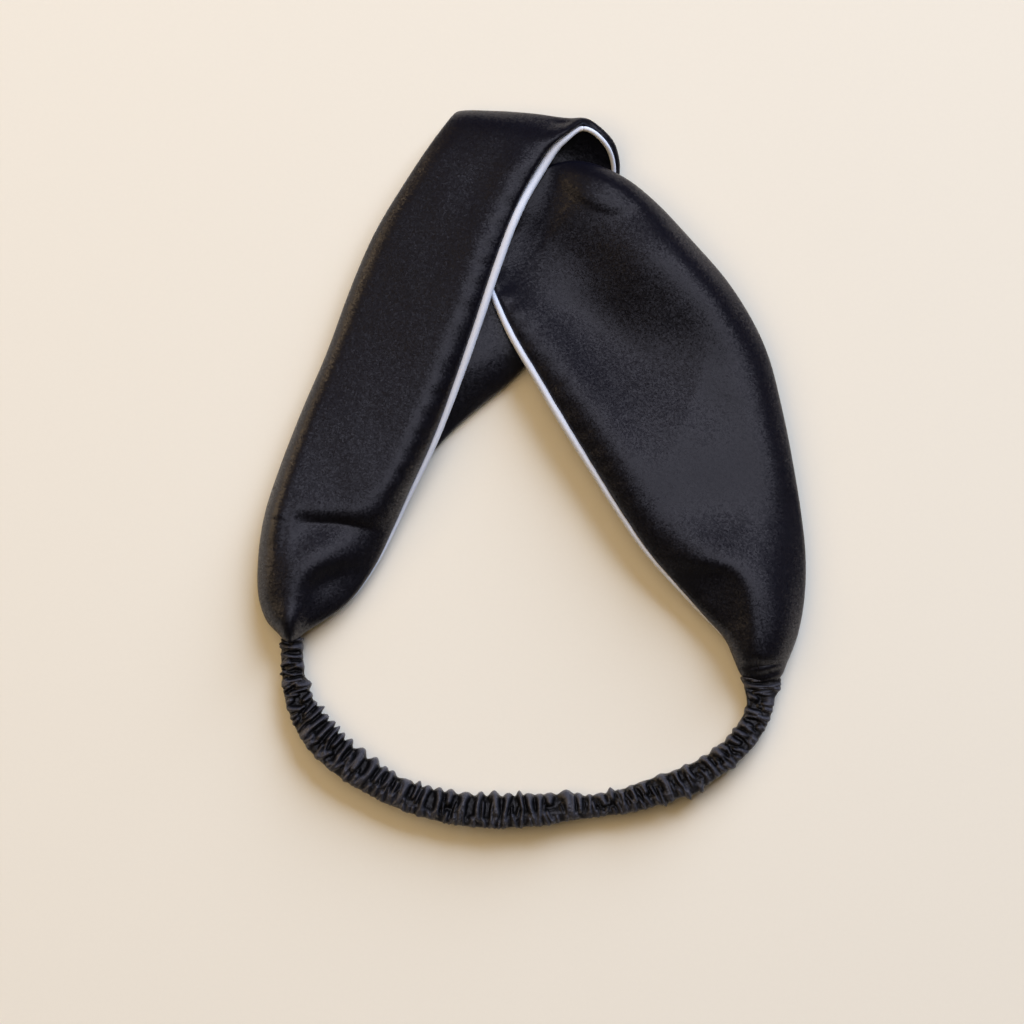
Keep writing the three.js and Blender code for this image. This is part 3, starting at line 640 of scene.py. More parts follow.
def seam_puckers(sash, rows, cloth, shares, sizes):
    """Small puckers beside the piping's seam.

    They are a sine along the seam whose length drifts, times exp(-(d/reach)^2), where d is the
    distance from a line that runs a little inside the edge.
    """
    edge = shares if sash.piped_side == "left" else 1 - shares
    width = 2 * np.abs(cloth[:, :1, 0])
    reach = np.exp(-((edge[None, :] * width - PUCKER_MIDDLE) / PUCKER_REACH) ** 2)
    along = cloth[..., 1]
    drift = PUCKER_DRIFT * np.sin(along / PUCKER_DRIFT_LENGTH + sash.seed)
    wave = np.sin(2 * math.pi * along / PUCKER_LENGTH + drift)
    present = smoothstep(piping_share(sash, rows), *PUCKERED_FROM)[:, None]
    return sizes.pucker / MM * reach * wave * present


def sash_rings(sash, sizes):
    """Closed rings round the sash's wall, and the cloth coordinates of their points.

    The middle surface is moved both ways along its normal by half the wall, which falls to
    nothing as a quarter circle over the rim at both long edges.
    """
    last = len(sash.table["wall"]) - 1
    turn_end = sash.front_rows + TURN_ROWS
    fine = np.linspace(0, turn_end, turn_end * FINE_RINGS, endpoint=False)
    coarse = np.linspace(turn_end, last, (last - turn_end) * COARSE_RINGS + 1)
    rows = np.concatenate([fine, coarse])
    even = np.linspace(0, 1, SIDE_POINTS + 1)
    crowded = (1 - np.cos(math.pi * even)) / 2
    shares = EVEN_SHARE * even + (1 - EVEN_SHARE) * crowded
    middle, cloth = sash_middle(sash, rows, shares, sizes)
    normal = unit(np.cross(np.gradient(middle, axis=1), np.gradient(middle, axis=0)))
    width = 2 * np.abs(cloth[:, :1, 0])
    rim = np.minimum(sizes.rim_round / MM, width / 2)
    inset = np.clip(np.minimum(shares, 1 - shares)[None, :] * width / rim, 0, 1)
    half = column_at(sash.table, "wall", rows)[:, None] / 2 * np.sqrt(1 - (1 - inset) ** 2)
    upper = middle + normal * half[..., None]
    lower = (middle - normal * half[..., None])[:, -2:0:-1]
    rings = np.concatenate([upper, lower], axis=1)
    rings[..., 2] = np.maximum(rings[..., 2], 0)
    return rings, np.concatenate([cloth, cloth[:, -2:0:-1]], axis=1)


def in_frame(points):
    """Table points in millimetres as points of the frame in metres, one a row."""
    return (points.reshape(-1, 3) + TABLE_SHIFT) * MM


def add_sash(sash, sizes):
    """One sash as a closed wall of cloth."""
    rings, cloth = sash_rings(sash, sizes)
    faces = closed_faces(*rings.shape[:2])
    return add_piece(f"{sash.name}_cloth", in_frame(rings), faces, cloth.reshape(-1, 2) * MM)


# ---------------------------------------------------------------- piping

PIPING_RINGS = 30  # rings of piping a row
PIPING_SIDES = 20
PIPING_OVAL = 0.9  # height of the piping as a share of its width
LOOP_RIM = 1.1  # cloth that shows outside the piping round the loop
LOOP_RIM_ROWS = (14.4, 16.0)
PIPING_UNEVEN, PIPING_WAVES = 0.025, (3.1, 7.7)  # how far its size swells, and the waves of that
PIPING_TIP = 0.7  # how far its first ring draws in


def add_piping(sash, sizes):
    """Piping along a sash's inner edge: a slightly flat circle carried along a path.

    The path runs beside the cloth edge, a radius away, and round the open loop it sinks to the
    inside of the cloth. The radius swells by a product of two sines along the path.
    """
    piping = sash.piping
    rows = np.linspace(piping.from_row, piping.to_row, int((piping.to_row - piping.from_row) * PIPING_RINGS))
    left, right, across, out = sash_edges(sash, rows)
    radius = sizes.piping_diameter / MM / 2 * piping_share(sash, rows)
    inward = across if sash.piped_side == "left" else -across
    edge = left if sash.piped_side == "left" else right
    sunk = round_the_loop(sash, rows) * (radius + LOOP_RIM) - piping.raised
    aside = radius + smoothstep(rows, *LOOP_RIM_ROWS) * LOOP_RIM
    path = edge + inward * aside[:, None] - out * sunk[:, None]
    ease = PIPING_RINGS // 3
    path, across = eased(path, ease), unit(eased(across, ease))
    ahead = unit(np.gradient(path, axis=0))
    up = unit(np.cross(across, ahead))
    sideways = np.cross(ahead, up)
    along = lengths_along(path)
    short, long = (along / wave for wave in PIPING_WAVES)
    uneven = 1 + PIPING_UNEVEN * np.sin(short + sash.seed) * np.sin(long)
    angle = angles_round(PIPING_SIDES)
    width = (radius * uneven)[:, None, None]
    rings = path[:, None] + width * (
        sideways[:, None] * np.cos(angle)[None, :, None]
        + up[:, None] * np.sin(angle)[None, :, None] * PIPING_OVAL
    )
    rings[0] += (path[0] - rings[0]) * PIPING_TIP
    faces = closed_faces(len(rows), PIPING_SIDES)
    around = np.broadcast_to(np.abs(angle - math.pi)[None, :], rings.shape[:2])
    uv = np.stack([around * radius[:, None], np.broadcast_to(along[:, None], rings.shape[:2])], -1)
    name = sash.name.replace("sash", "piping_tube")
    return add_piece(name, in_frame(rings), faces, uv.reshape(-1, 2) * MM)


# ---------------------------------------------------------------- casing

CASING_RINGS = 1240
CASING_SIDES = 64
CHANNEL_RINGS = 120
MOUTH_OVERLAP = 1.0  # how far each mouth reaches over the neck of its sash
MOUTH_ROUND = 1.6  # distance over which a mouth draws in to its lip
LIP_WALL = 0.9  # thickness of the cloth at a mouth
SLOT_STRETCH = (1.25, 1.6)  # stretch of a circle, across and up, that is cut off square to a slot
LENGTH_STEPS = 40  # steps a row along which the casing's length is measured
OVAL_POWER, HEM_SQUARER = 0.62, 0.2  # how round the casing is on top, and how much less at the hem
HEM_FROM = (0.5, 2.0)  # where the hem's shape begins and is full, from 0 at the inner edge to 2
HEM_HEIGHT = 0.85  # height of the outer hem as a share of the casing's
INNER_SEED, HEM_SEED, GATHER_SEED = 5, 13, 31
WIDE_GAP = 2.3  # a stretch longer than this many pitches is filled with further crests
MORE_SHIFT, MORE_REACH, MORE_POINT = (-0.3, 0.3), (0.93, 1.02), (0.7, 1.3)  # ranges of those crests
INNER_LOW, HEM_LOW = 0.80, 0.87  # how far the pockets reach in plan, as shares of half the width
POCKET_DEPTH = 0.56  # depth of the pockets on top, as a share of half the casing's height
LOOSE_DEPTH = 0.45  # share of that depth that is left where the casing isn't gathered
CREST_LIFT = 1.03  # height of a full crest, in the same share
LEAN, LEAN_SPREAD = 0.5, 0.55  # how far the folds lean, in millimetres for half the width
LEAN_WAVE = 17.0  # the lean goes to and fro along the casing as a sine of this length over 2 pi
BEND_SPREAD, BEND_FROM = 0.5, 1.2  # how far the folds bend, and how far across they come back
WIDTH_SPREAD = (0.8, 1.2)
FOLD_POWER = 2.4  # how squarely a fold falls to its sides
FOLD_START, FOLD_END = 0.15, 0.2  # distances across the casing over which a fold begins and ends
GATHER_CAP = 1.1
FOLD_REACH = 6.0  # no fold reaches further than this along the casing
EDGE_BROADER, EDGE_FROM = 0.6, (0.5, 1)  # how much broader a fold is at the inner edge, and where
HEM_BASE = 0.5  # least height of the gathers in the calmer band along the hem
HEM_BAND = (1.0, 1.5)  # where that band begins and is full, from 0 at the inner edge to 2
HEM_BAND_FROM = (16.0, 28.0)  # how far from the left mouth it begins and is full, in millimetres
HEM_BAND_SWAY, HEM_BAND_WAVE = 0.25, 7.0  # how far its edge sways, and the wave of that
UP = np.array([0.0, 0.0, 1.0])

Crests = namedtuple("Crests", "places reach point")
Gather = namedtuple("Gather", "place lean bend start end height width")

# Three kinds of folds: ranges of their starts and ends across the casing, from 0 at the inner
# edge to 2 at the hem, and of their heights.
INNER_FOLDS = ((-1, -1), (0.7, 2.3), (0.95, 1))
SHORT_FOLDS = ((0.1, 1.0), (1.1, 2.2), (0.45, 0.95))
HEM_FOLDS = ((1.0, 1.6), (3, 3), (0.8, 1))

# Width of a fold: the first number less the second times how pointed its crest is, kept between
# the last two.
INNER_WIDTHS = (1.5, 0.65, 0.65, 1.25)
HEM_WIDTHS = (1.4, 0.7, 0.55, 1.2)
SHORT_WIDTH = 0.5


def crest_line(rows, centre, along, half_width, pitch, seed):
    """Crests along one side of the casing: their places, how far they reach, and how pointed.

    Every table row belongs to the nearest place of the centre line, and its reach is its distance
    from there over half the width. Stretches longer than a few pitches are filled at random.
    """
    table = read_table(CREST_COLUMNS, rows)
    distance = np.hypot(table["x"][:, None] - centre[:, 0], table["y"][:, None] - centre[:, 1])
    nearest = distance.argmin(1)
    known = np.concatenate([along[:1], along[nearest], along[-1:]])
    reach = np.concatenate([[1.0], distance.min(1) / half_width[nearest], [1.0]])
    random = np.random.default_rng(seed)
    pitch = pitch / MM
    extra = []
    for start, end in zip(known[:-1], known[1:]):
        count = int(round((end - start) / pitch)) - 1 if end - start > WIDE_GAP * pitch else 0
        shift = random.uniform(*MORE_SHIFT, count)
        extra.extend(start + (end - start) * (np.arange(1, count + 1) + shift) / (count + 1))
    places = np.concatenate([known, extra])
    reach = np.concatenate([reach, random.uniform(*MORE_REACH, len(extra))])
    point = np.concatenate([[1.0], table["point"], [1.0], random.uniform(*MORE_POINT, len(extra))])
    order = places.argsort()
    return Crests(places[order], reach[order], point[order])


def crest_widths(crests, broad, narrowing, least, most):
    """Width of the fold at each crest."""
    return np.clip(broad - narrowing * crests.point, least, most)


def gathers_at(random, places, ranges, widths):
    """Folds of a kind that cross the casing at given places, each with a lean and a bend."""
    count = len(places)
    return Gather(
        places,
        LEAN * np.sin(places / LEAN_WAVE) + random.normal(0, LEAN_SPREAD, count),
        random.normal(0, BEND_SPREAD, count),
        *(random.uniform(*limits, count) for limits in ranges),
        np.broadcast_to(widths, count) * random.uniform(*WIDTH_SPREAD, count),
    )


def gather_field(along, across, groups):
    """Height of gathered cloth, from 0 in its pockets to about 1 on full crests.

    A fold is a line across the cloth that leans and bends. Its height falls to both sides as
    exp(-(d/width)^power), and softly at its start and end. Where folds meet, the height is the
    cube root of the sum of their cubes.
    """
    total = np.zeros((len(along), across.shape[1]))
    for group in groups:
        for place, lean, bend, start, end, height, width in zip(*group):
            near = slice(*np.searchsorted(along, (place - FOLD_REACH, place + FOLD_REACH)))
            broad = width * (1 + EDGE_BROADER * smoothstep(1 - across, *EDGE_FROM))
            bent = bend * across * (across - BEND_FROM)
            aside = along[near, None] - place - lean * across - bent
            shape = np.exp(-np.abs(aside / broad) ** FOLD_POWER)
            begun = smoothstep(across, start - FOLD_START, start + FOLD_START)
            lasting = smoothstep(-across, -end - FOLD_END, FOLD_END - end)
            total[near] += (height * shape * (begun * lasting)) ** 3
    return np.minimum(np.cbrt(total), GATHER_CAP)


def casing_places(count):
    """The casing's table, and count even places along it that reach past both mouths.

    For every place there is its row number, its distance along, its point of the centre line and
    the direction to the head opening.
    """
    table = read_table(CASING_COLUMNS, CASING_ROWS)
    line = np.column_stack([table["x"], table["y"], table["height"] / 2])
    last = len(line) - 1
    fine = np.linspace(0, last, LENGTH_STEPS * last + 1)
    length = lengths_along(spline(line, fine))
    along = np.linspace(-MOUTH_OVERLAP, length[-1] + MOUTH_OVERLAP, count)
    rows = np.interp(along, length, fine)
    centre = spline(line, rows)
    ahead = heading(line, rows)
    ahead[:, 2] = 0
    ahead = unit(ahead)
    past = np.minimum(along, 0) + np.maximum(along - length[-1], 0)
    centre = centre + ahead * past[:, None]
    return table, rows, along, centre, unit(np.cross(UP, ahead))


def casing_outer(sizes):
    """Ruched outer surface of the casing as rings, and its height between pockets and crests.

    A point lies at angle a round a flattened oval of the casing's width and height, cos a across
    and sin a to a power up, where angle 0 points to the head opening. The gathers' folds cross
    it: some from the inner edge, some only over the top, and some only at the hem, where they lie
    in a calmer band. In plan both edges reach out to the crests and in to the pockets, and on top
    the pockets go down by a share of the height.
    """
    table, rows, along, centre, inward = casing_places(CASING_RINGS)
    angle = angles_round(CASING_SIDES)[None, :]
    inner, upper = np.cos(angle), np.sin(angle)
    across = 1 - inner
    on_hem = smoothstep(across, *HEM_FROM)
    upper = np.sign(upper) * np.abs(upper) ** (OVAL_POWER - HEM_SQUARER * on_hem)
    half_width = column_at(table, "width", rows) / 2
    gather = column_at(table, "gather", rows)[:, None]
    inner_crests = crest_line(INNER_CRESTS, centre, along, half_width, sizes.ruffle_pitch, INNER_SEED)
    hem_crests = crest_line(OUTER_CRESTS, centre, along, half_width, sizes.scallop_pitch, HEM_SEED)
    random = np.random.default_rng(GATHER_SEED)
    short_count = int(np.ptp(along) / (sizes.wrinkle_pitch / MM))
    short_places = random.uniform(along[0], along[-1], short_count)
    inner_widths = crest_widths(inner_crests, *INNER_WIDTHS)
    hem_widths = crest_widths(hem_crests, *HEM_WIDTHS)
    gathers = (
        gathers_at(random, inner_crests.places, INNER_FOLDS, inner_widths),
        gathers_at(random, short_places, SHORT_FOLDS, SHORT_WIDTH),
        gathers_at(random, hem_crests.places, HEM_FOLDS, hem_widths),
    )
    sway = HEM_BAND_SWAY * np.sin(along / HEM_BAND_WAVE)[:, None]
    band = HEM_BASE * smoothstep(across + sway, *HEM_BAND) * smoothstep(along, *HEM_BAND_FROM)[:, None]
    field = np.cbrt(gather_field(along, across, gathers) ** 3 + band**3)
    field = np.minimum(field, GATHER_CAP)
    inner_reach = np.interp(along, inner_crests.places, inner_crests.reach)[:, None]
    hem_reach = np.interp(along, hem_crests.places, hem_crests.reach)[:, None]
    low = np.where(inner > 0, INNER_LOW, HEM_LOW)
    reach = low + (np.where(inner > 0, inner_reach, hem_reach) - low) * field
    depth = POCKET_DEPTH * (LOOSE_DEPTH + (1 - LOOSE_DEPTH) * gather)
    lift = (CREST_LIFT - depth * (1 - field)) * (1 - (1 - HEM_HEIGHT) * on_hem)
    sideways = half_width[:, None] * inner * reach
    rise = column_at(table, "height", rows)[:, None] / 2 * upper * lift
    sideways, rise = draw_in_mouths(table, rows, along, angle, sideways, rise)
    rings = centre[:, None] + inward[:, None] * sideways[..., None] + UP * rise[..., None]
    rings[..., 2] = np.maximum(rings[..., 2], 0)
    return rings, field


def draw_in_mouths(table, rows, along, angle, sideways, rise):
    """Rounds both mouths of the casing in to a lip just outside the channel."""
    from_mouth = np.minimum(along - along[0], along[-1] - along)[:, None]
    open_share = np.clip(from_mouth / MOUTH_ROUND, 0, 1)
    rounded = np.sqrt(1 - (1 - open_share) ** 2)
    lip_x, lip_z = slot_section(table, rows, angle, LIP_WALL)
    return lip_x + (sideways - lip_x) * rounded, lip_z + (rise - lip_z) * rounded


def slot_section(table, rows, angle, margin):
    """A flat slot with round ends at each row, margin larger than the channel all round."""
    wide = column_at(table, "channel_width", rows)[:, None] / 2 + margin
    high = column_at(table, "channel_height", rows)[:, None] / 2 + margin
    across, up = SLOT_STRETCH
    return np.clip(np.cos(angle) * across, -1, 1) * wide, np.clip(np.sin(angle) * up, -1, 1) * high


def casing_channel():
    """Inner surface of the casing, the channel of the elastic, as rings."""
    table, rows, _, centre, inward = casing_places(CHANNEL_RINGS)
    sideways, rise = slot_section(table, rows, angles_round(CASING_SIDES)[None, :], 0.0)
    return centre[:, None] + inward[:, None] * sideways[..., None] + UP * rise[..., None]


def add_casing(sizes):
    """The casing as a closed sleeve: outer rings, channel rings and a lip at both mouths."""
    (outer, field), channel = casing_outer(sizes), casing_channel()
    points = CASING_SIDES
    inner_start = CASING_RINGS * points
    here = np.arange(points)
    following = (here + 1) % points

    def lip(outer_ring, inner_ring, turned):
        first, second = outer_ring * points, inner_start + inner_ring * points
        faces = np.stack([first + here, first + following, second + following, second + here], -1)
        return faces[:, ::-1] if turned else faces

    faces = np.concatenate(
        [
            ring_faces(CASING_RINGS, points),
            ring_faces(CHANNEL_RINGS, points, inner_start)[:, ::-1],
            lip(0, 0, False),
            lip(CASING_RINGS - 1, CHANNEL_RINGS - 1, True),
        ]
    )
    vertices = in_frame(np.concatenate([outer.reshape(-1, 3), channel.reshape(-1, 3)]))
    piece = add_piece("ruched_casing_cloth", vertices, faces)
    # The crest attribute carries the gathers' height to the material, which paints shade into the pockets
    # and sheen onto the crests.
    crest = piece.data.attributes.new("crest", "FLOAT", "POINT")
    crest.data.foreach_set("value", np.concatenate([field.ravel(), np.zeros(channel.size // 3)]))
    return piece


# ---------------------------------------------------------------- materials

# Scales are features a metre, and depths are metres.
THREAD_TILT = 0.19  # how far the threads' own tilts spread, as a share of the normal's length
THREAD_SCALE, CLOUD_SCALE, CRUMPLE_SCALE = 2600.0, 45.0, 900.0
SATIN_ROUGHNESS, SATIN_TINT = (0.33, 0.47), (0.90, 0.89, 1.0, 1.0)
SASH_CRUMPLE, CASING_CRUMPLE = 0.00002, 0.00035
POCKET_PAINTED_SHADE, POCKET_TOP = 0.05, 0.4  # painted shade of the pockets, and up to what height of the gathers they have it
BIAS_SCALE, BIAS_DEPTH, BIAS_CLOUD_SCALE = 2400.0, 0.00003, 60.0
BIAS_TURN, BIAS_STRETCH = math.radians(45), (1, 0.3, 1)
BIAS_ROUGHNESS = (0.42, 0.55)
RIB_SCALE, RIB_DEPTH, STITCH_SCALE = 400.0, 0.0001, 1800.0
TAPE_ROUGHNESS = (0.7, 0.9)
PAPER_SCALE = 900.0


class Nodes:
    """A new material's nodes, with short ways to add and join them."""

    def __init__(self, name):
        self.material = bpy.data.materials.new(name)
        self.material.use_nodes = True
        self.tree = self.material.node_tree
        self.shader = self.tree.nodes["Principled BSDF"]

    def add(self, kind, inputs=(), **settings):
        """Adds a node, sets its properties, and sets or joins its inputs."""
        node = self.tree.nodes.new(kind)
        for key, value in settings.items():
            setattr(node, key, value)
        for key, value in dict(inputs).items():
            self.put(node, key, value)
        return node

    def put(self, node, key, value):
        """Joins an output to an input, or sets the input to a number or colour."""
        if isinstance(value, bpy.types.NodeSocket):
            self.tree.links.new(value, node.inputs[key])
        else:
            node.inputs[key].default_value = value

    def noise(self, vector, scale, detail=3.0, roughness=0.5):
        """Fractal noise from 0 to 1 at a number of features a metre."""
        inputs = {"Vector": vector, "Scale": scale, "Detail": detail, "Roughness": roughness}
        return self.add("ShaderNodeTexNoise", inputs).outputs["Fac"]

    def between(self, share, low, high, from_low=0.0):
        """Maps a share from from_low to 1 onto a range, and holds the range's ends beyond it."""
        inputs = {"Value": share, "From Min": from_low, "To Min": low, "To Max": high}
        return self.add("ShaderNodeMapRange", inputs).outputs["Result"]

    def mix(self, share, first, second):
        """Mixes two colours by a share."""
        node = self.add("ShaderNodeMix", data_type="RGBA")
        self.put(node, 0, share)
        self.put(node, 6, first)
        self.put(node, 7, second)
        return node.outputs[2]

    def shades(self, share, colour_value, low, high):
        """Mixes a darker and a lighter shade of a colour by a share."""
        return self.mix(share, shaded(colour_value, low), shaded(colour_value, high))

    def vector_math(self, operation, first, key, second):
        """A vector worked out from another one and a second input."""
        node = self.add("ShaderNodeVectorMath", {0: first, key: second}, operation=operation)
        return node.outputs[0]

    def bump(self, height, depth, normal=None):
        """Bump of a depth in metres, on top of another one."""
        inputs = {"Height": height, "Distance": depth, "Strength": 1.0}
        if normal is not None:
            inputs["Normal"] = normal
        return self.add("ShaderNodeBump", inputs).outputs["Normal"]


def shaded(colour_value, factor):
    """A colour made lighter or darker, with full alpha."""
    return (*(min(1.0, channel * factor) for channel in colour_value), 1.0)


def satin_material(name, colour_value, vector_source, crumpled, crest=None):
    """Satin: near-black float threads with a soft gloss, each tilted its own way so that it sparkles.

    Crumpled is the depth of its small unevenness. Where crest names an attribute that is 1 on
    crests and 0 in pockets, the pockets get painted shade, a far darker copy of the colour, and
    the colour kept on the crests is painted sheen.
    """
    nodes = Nodes(name)
    if vector_source == "cloth":
        place = nodes.add("ShaderNodeUVMap", uv_map="cloth").outputs["UV"]
    else:
        place = nodes.add("ShaderNodeTexCoord").outputs["Object"]
    thread = nodes.add("ShaderNodeTexVoronoi", {"Vector": place, "Scale": THREAD_SCALE}).outputs["Color"]
    cloud = nodes.noise(place, CLOUD_SCALE, detail=4.0, roughness=0.55)
    tone = nodes.shades(cloud, colour_value, low=0.8, high=1.25)
    # Painted shade in the pockets of the gathers, painted sheen on their crests.
    if crest:
        on_crest = nodes.add("ShaderNodeAttribute", attribute_name=crest).outputs["Fac"]
        lit = nodes.between(on_crest, 0.0, 1.0, from_low=POCKET_TOP)
        tone = nodes.mix(lit, shaded(colour_value, POCKET_PAINTED_SHADE), tone)
    nodes.put(nodes.shader, "Base Color", tone)
    nodes.put(nodes.shader, "Roughness", nodes.between(thread, *SATIN_ROUGHNESS))
    tilt = nodes.vector_math("SUBTRACT", thread, 1, (0.5, 0.5, 0.5))
    tilt = nodes.vector_math("SCALE", tilt, "Scale", THREAD_TILT)
    facing = nodes.add("ShaderNodeNewGeometry").outputs["Normal"]
    tilted = nodes.vector_math("ADD", facing, 1, tilt)
    level = nodes.add("ShaderNodeVectorMath", {0: tilted}, operation="NORMALIZE").outputs[0]
    crumple = nodes.bump(nodes.noise(place, CRUMPLE_SCALE, detail=2.0), crumpled, level)
    nodes.put(nodes.shader, "Normal", crumple)
    nodes.shader.inputs["Specular IOR Level"].default_value = 0.5
    nodes.shader.inputs["Specular Tint"].default_value = SATIN_TINT
    return nodes.material


def piping_material(colour_value):
    """Pale satin cut on the bias: fine slanting threads and a soft gloss."""
    nodes = Nodes("piping_satin")
    place = nodes.add("ShaderNodeUVMap", uv_map="cloth").outputs["UV"]
    turned = {"Vector": place, "Rotation": (0, 0, BIAS_TURN), "Scale": BIAS_STRETCH}
    bias = nodes.add("ShaderNodeMapping", turned).outputs["Vector"]
    thread = nodes.noise(bias, BIAS_SCALE, detail=2.0, roughness=0.6)
    cloud = nodes.noise(place, BIAS_CLOUD_SCALE)
    nodes.put(nodes.shader, "Base Color", nodes.shades(cloud, colour_value, low=0.93, high=1.04))
    nodes.put(nodes.shader, "Roughness", nodes.between(thread, *BIAS_ROUGHNESS))
    nodes.put(nodes.shader, "Normal", nodes.bump(thread, BIAS_DEPTH))
    nodes.shader.inputs["Sheen Weight"].default_value = 0.15
    return nodes.material


def elastic_material(colour_value):
    """Knitted elastic tape: ribs along the tape and short stitches across it."""
    nodes = Nodes("elastic_tape")
    place = nodes.add("ShaderNodeTexCoord").outputs["Object"]
    wave = {"Vector": place, "Scale": RIB_SCALE, "Distortion": 1.5}
    ribs = nodes.add("ShaderNodeTexWave", wave).outputs["Fac"]
    stitch = nodes.noise(place, STITCH_SCALE, detail=2.0, roughness=0.6)
    nodes.put(nodes.shader, "Base Color", nodes.shades(ribs, colour_value, low=0.7, high=1.5))
    nodes.put(nodes.shader, "Roughness", nodes.between(stitch, *TAPE_ROUGHNESS))
    nodes.put(nodes.shader, "Normal", nodes.bump(ribs, RIB_DEPTH))
    return nodes.material


def paper_material(colour_value):
    """Plain matt paper of the floor."""
    nodes = Nodes("floor_paper")
    place = nodes.add("ShaderNodeTexCoord").outputs["Object"]
    tooth = nodes.noise(place, PAPER_SCALE)
    nodes.put(nodes.shader, "Base Color", nodes.shades(tooth, colour_value, low=0.99, high=1.01))
    nodes.shader.inputs["Roughness"].default_value = 0.9
    nodes.shader.inputs["Specular IOR Level"].default_value = 0.1
    return nodes.material


# ---------------------------------------------------------------- operators


class HEADBAND_OT_sashes(bpy.types.Operator):
    """Build both sashes of doubled black satin"""

    bl_idname = "headband.sashes"
    bl_label = "Sashes"

    def execute(self, context):
        sizes, colours = context.scene.headband_sizes, context.scene.headband_colours
        satin = satin_material("black_satin", colours.satin, "cloth", SASH_CRUMPLE)
        for sash in (LEFT_SASH, RIGHT_SASH):
            piece = add_sash(sash, sizes)
            finish_piece(piece, satin, "black_satin", sash.name)
        return {"FINISHED"}


class HEADBAND_OT_piping(bpy.types.Operator):
    """Build the pale piping of both inner edges, sewn to the sashes"""

    bl_idname = "headband.piping"
    bl_label = "Piping"

    def execute(self, context):
        sizes, colours = context.scene.headband_sizes, context.scene.headband_colours
        satin = piping_material(colours.piping)
        for sash in (LEFT_SASH, RIGHT_SASH):
            piece = add_piping(sash, sizes)
            finish_piece(piece, satin, "piping_satin", sash.name.replace("sash", "piping"))
        return {"FINISHED"}


class HEADBAND_OT_casing(bpy.types.Operator):
    """Build the ruched casing and finish the elastic inside it"""

    bl_idname = "headband.casing"
    bl_label = "Ruched Casing"

    def execute(self, context):
        sizes, colours = context.scene.headband_sizes, context.scene.headband_colours
        # The ruched colour, with painted shade in the pockets and painted sheen on the crests.
        satin = satin_material("ruched_satin", colours.ruched, "object", CASING_CRUMPLE, crest="crest")
        piece = add_casing(sizes)
        finish_piece(piece, satin, "ruched_satin", "elastic_casing")
        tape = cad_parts["elastic_band"]
        tape.data.materials.clear()
        tape.data.materials.append(elastic_material(colours.elastic))
        return {"FINISHED"}


class HEADBAND_OT_stage(bpy.types.Operator):
    """Set the floor, the lights and the camera"""

    bl_idname = "headband.stage"
    bl_label = "Stage"

    def execute(self, context):
        studio = context.scene.headband_studio
        add_floor(studio)
        add_lights(context.scene, studio)
        add_camera(context.scene, studio)
        context.scene.view_settings.view_transform = "Standard"
        return {"FINISHED"}


FLOOR_HALF = 4.0
FLOOR_DROP = 0.0001
SIGHT_CENTRE = (-5.8, -12.5)  # point of the plan under the camera, in millimetres
SIGHT_HEIGHT = 0.006  # height at which the view has its stated width
KEY_PLACE = (1.5, 2.9, 1.72)
TOP_PLACE = (0.26, 0.05, 1.45)
FILL_PLACE = (-0.8, 0.5, 1.7)
CARD_PLACE = (-1.6, 0.35, 0.45)
CARD_SIDES = (0.9, 1.2)
CLIP_RANGE = (0.05, 20.0)  # distances that the camera sees


def add_floor(studio):
    """A flat square of paper just under the headband."""
    low_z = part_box("right_sash")[0].z - FLOOR_DROP
    corners = [(x * FLOOR_HALF, y * FLOOR_HALF, low_z) for x, y in ((-1, -1), (1, -1), (1, 1), (-1, 1))]
    mesh = bpy.data.meshes.new("floor")
    mesh.from_pydata(corners, [], [(0, 1, 2, 3)])
    floor = bpy.data.objects.new("floor", mesh)
    mesh.materials.append(paper_material(studio.floor))
    bpy.context.scene.collection.objects.link(floor)


def add_light(scene, name, place, sides, power_value, tint):
    """An area light of two sides that faces the origin."""
    light = bpy.data.lights.new(name, "AREA")
    light.shape = "RECTANGLE"
    light.size, light.size_y = sides
    light.energy = power_value
    light.color = tint
    lamp = bpy.data.objects.new(name, light)
    lamp.location = place
    lamp.rotation_euler = (-lamp.location).to_track_quat("-Z", "Y").to_euler()
    scene.collection.objects.link(lamp)
    return lamp


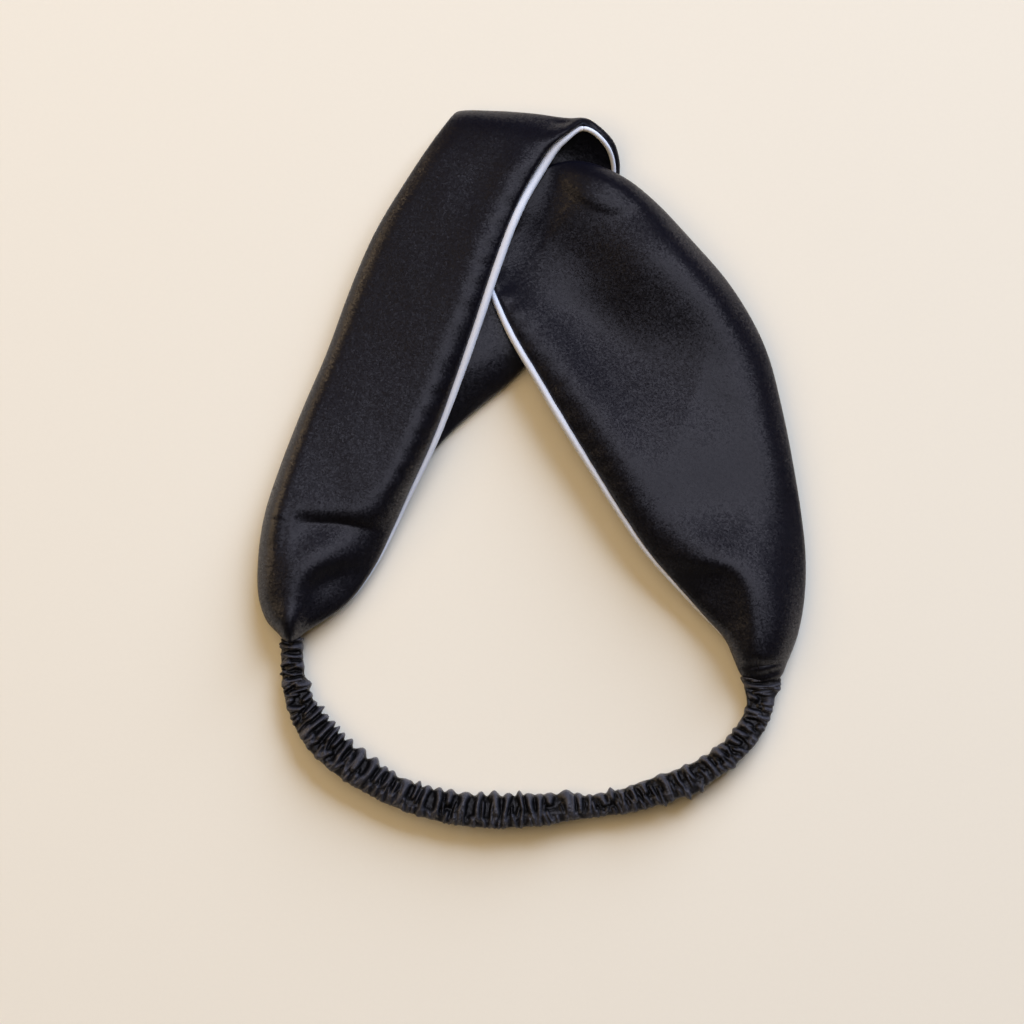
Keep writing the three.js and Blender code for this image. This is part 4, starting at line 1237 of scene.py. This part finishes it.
def add_lights(scene, studio):
    """A large window light towards the upper right, a warm room and a soft box overhead.

    Window and room light the surfaces. The soft box, and a card that reaches the flanks that face
    left, show as the satin's soft reflections.
    """
    key_sides, fill_sides = (studio.key_size,) * 2, (studio.fill_size,) * 2
    window = add_light(scene, "window", KEY_PLACE, key_sides, studio.key_power, studio.key_colour)
    room = add_light(scene, "room_light", FILL_PLACE, fill_sides, studio.fill_power, studio.fill_colour)
    window.visible_glossy = room.visible_glossy = False
    top_sides = (studio.top_size, studio.top_length)
    soft_box = add_light(scene, "soft_box", TOP_PLACE, top_sides, studio.top_power, studio.top_colour)
    card = add_light(scene, "card", CARD_PLACE, CARD_SIDES, studio.card_power, studio.fill_colour)
    soft_box.visible_diffuse = card.visible_diffuse = False
    world = bpy.data.worlds.new("room")
    world.use_nodes = True
    background = world.node_tree.nodes["Background"]
    background.inputs["Color"].default_value = (*studio.fill_colour, 1.0)
    background.inputs["Strength"].default_value = studio.room
    scene.world = world


def add_camera(scene, studio):
    """A camera that looks straight down, upper edge towards +Y."""
    data = bpy.data.cameras.new("camera")
    distance = studio.camera_height - SIGHT_HEIGHT
    data.lens = data.sensor_width * distance / studio.view_width
    data.clip_start, data.clip_end = CLIP_RANGE
    camera = bpy.data.objects.new("camera", data)
    plan = (np.array([*SIGHT_CENTRE, 0.0]) + TABLE_SHIFT) * MM
    camera.location = (plan[0], plan[1], studio.camera_height)
    scene.collection.objects.link(camera)
    scene.camera = camera


class HEADBAND_PT_panel(bpy.types.Panel):
    """Lists the steps that make the headband"""

    bl_idname = "HEADBAND_PT_panel"
    bl_label = "Twist Headband"
    bl_space_type = "VIEW_3D"
    bl_region_type = "UI"
    bl_category = "Headband"

    def draw(self, context):
        layout = self.layout
        for operator in OPERATORS:
            layout.operator(operator.bl_idname)


PROPERTY_GROUPS = {
    "headband_sizes": HeadbandSizes,
    "headband_colours": HeadbandColours,
    "headband_studio": StudioSettings,
}
OPERATORS = (HEADBAND_OT_sashes, HEADBAND_OT_piping, HEADBAND_OT_casing, HEADBAND_OT_stage)


def register():
    """Registers the classes and hangs the property groups on the scene."""
    for cls in (*PROPERTY_GROUPS.values(), *OPERATORS, HEADBAND_PT_panel):
        bpy.utils.register_class(cls)
    for name, group in PROPERTY_GROUPS.items():
        setattr(bpy.types.Scene, name, PointerProperty(type=group))


def unregister():
    """Takes the property groups and classes away again."""
    for name in PROPERTY_GROUPS:
        delattr(bpy.types.Scene, name)
    for cls in reversed((*PROPERTY_GROUPS.values(), *OPERATORS, HEADBAND_PT_panel)):
        bpy.utils.unregister_class(cls)


def main():
    register()
    bpy.ops.headband.sashes()
    bpy.ops.headband.piping()
    bpy.ops.headband.casing()
    bpy.ops.headband.stage()


if __name__ == "__main__":
    main()
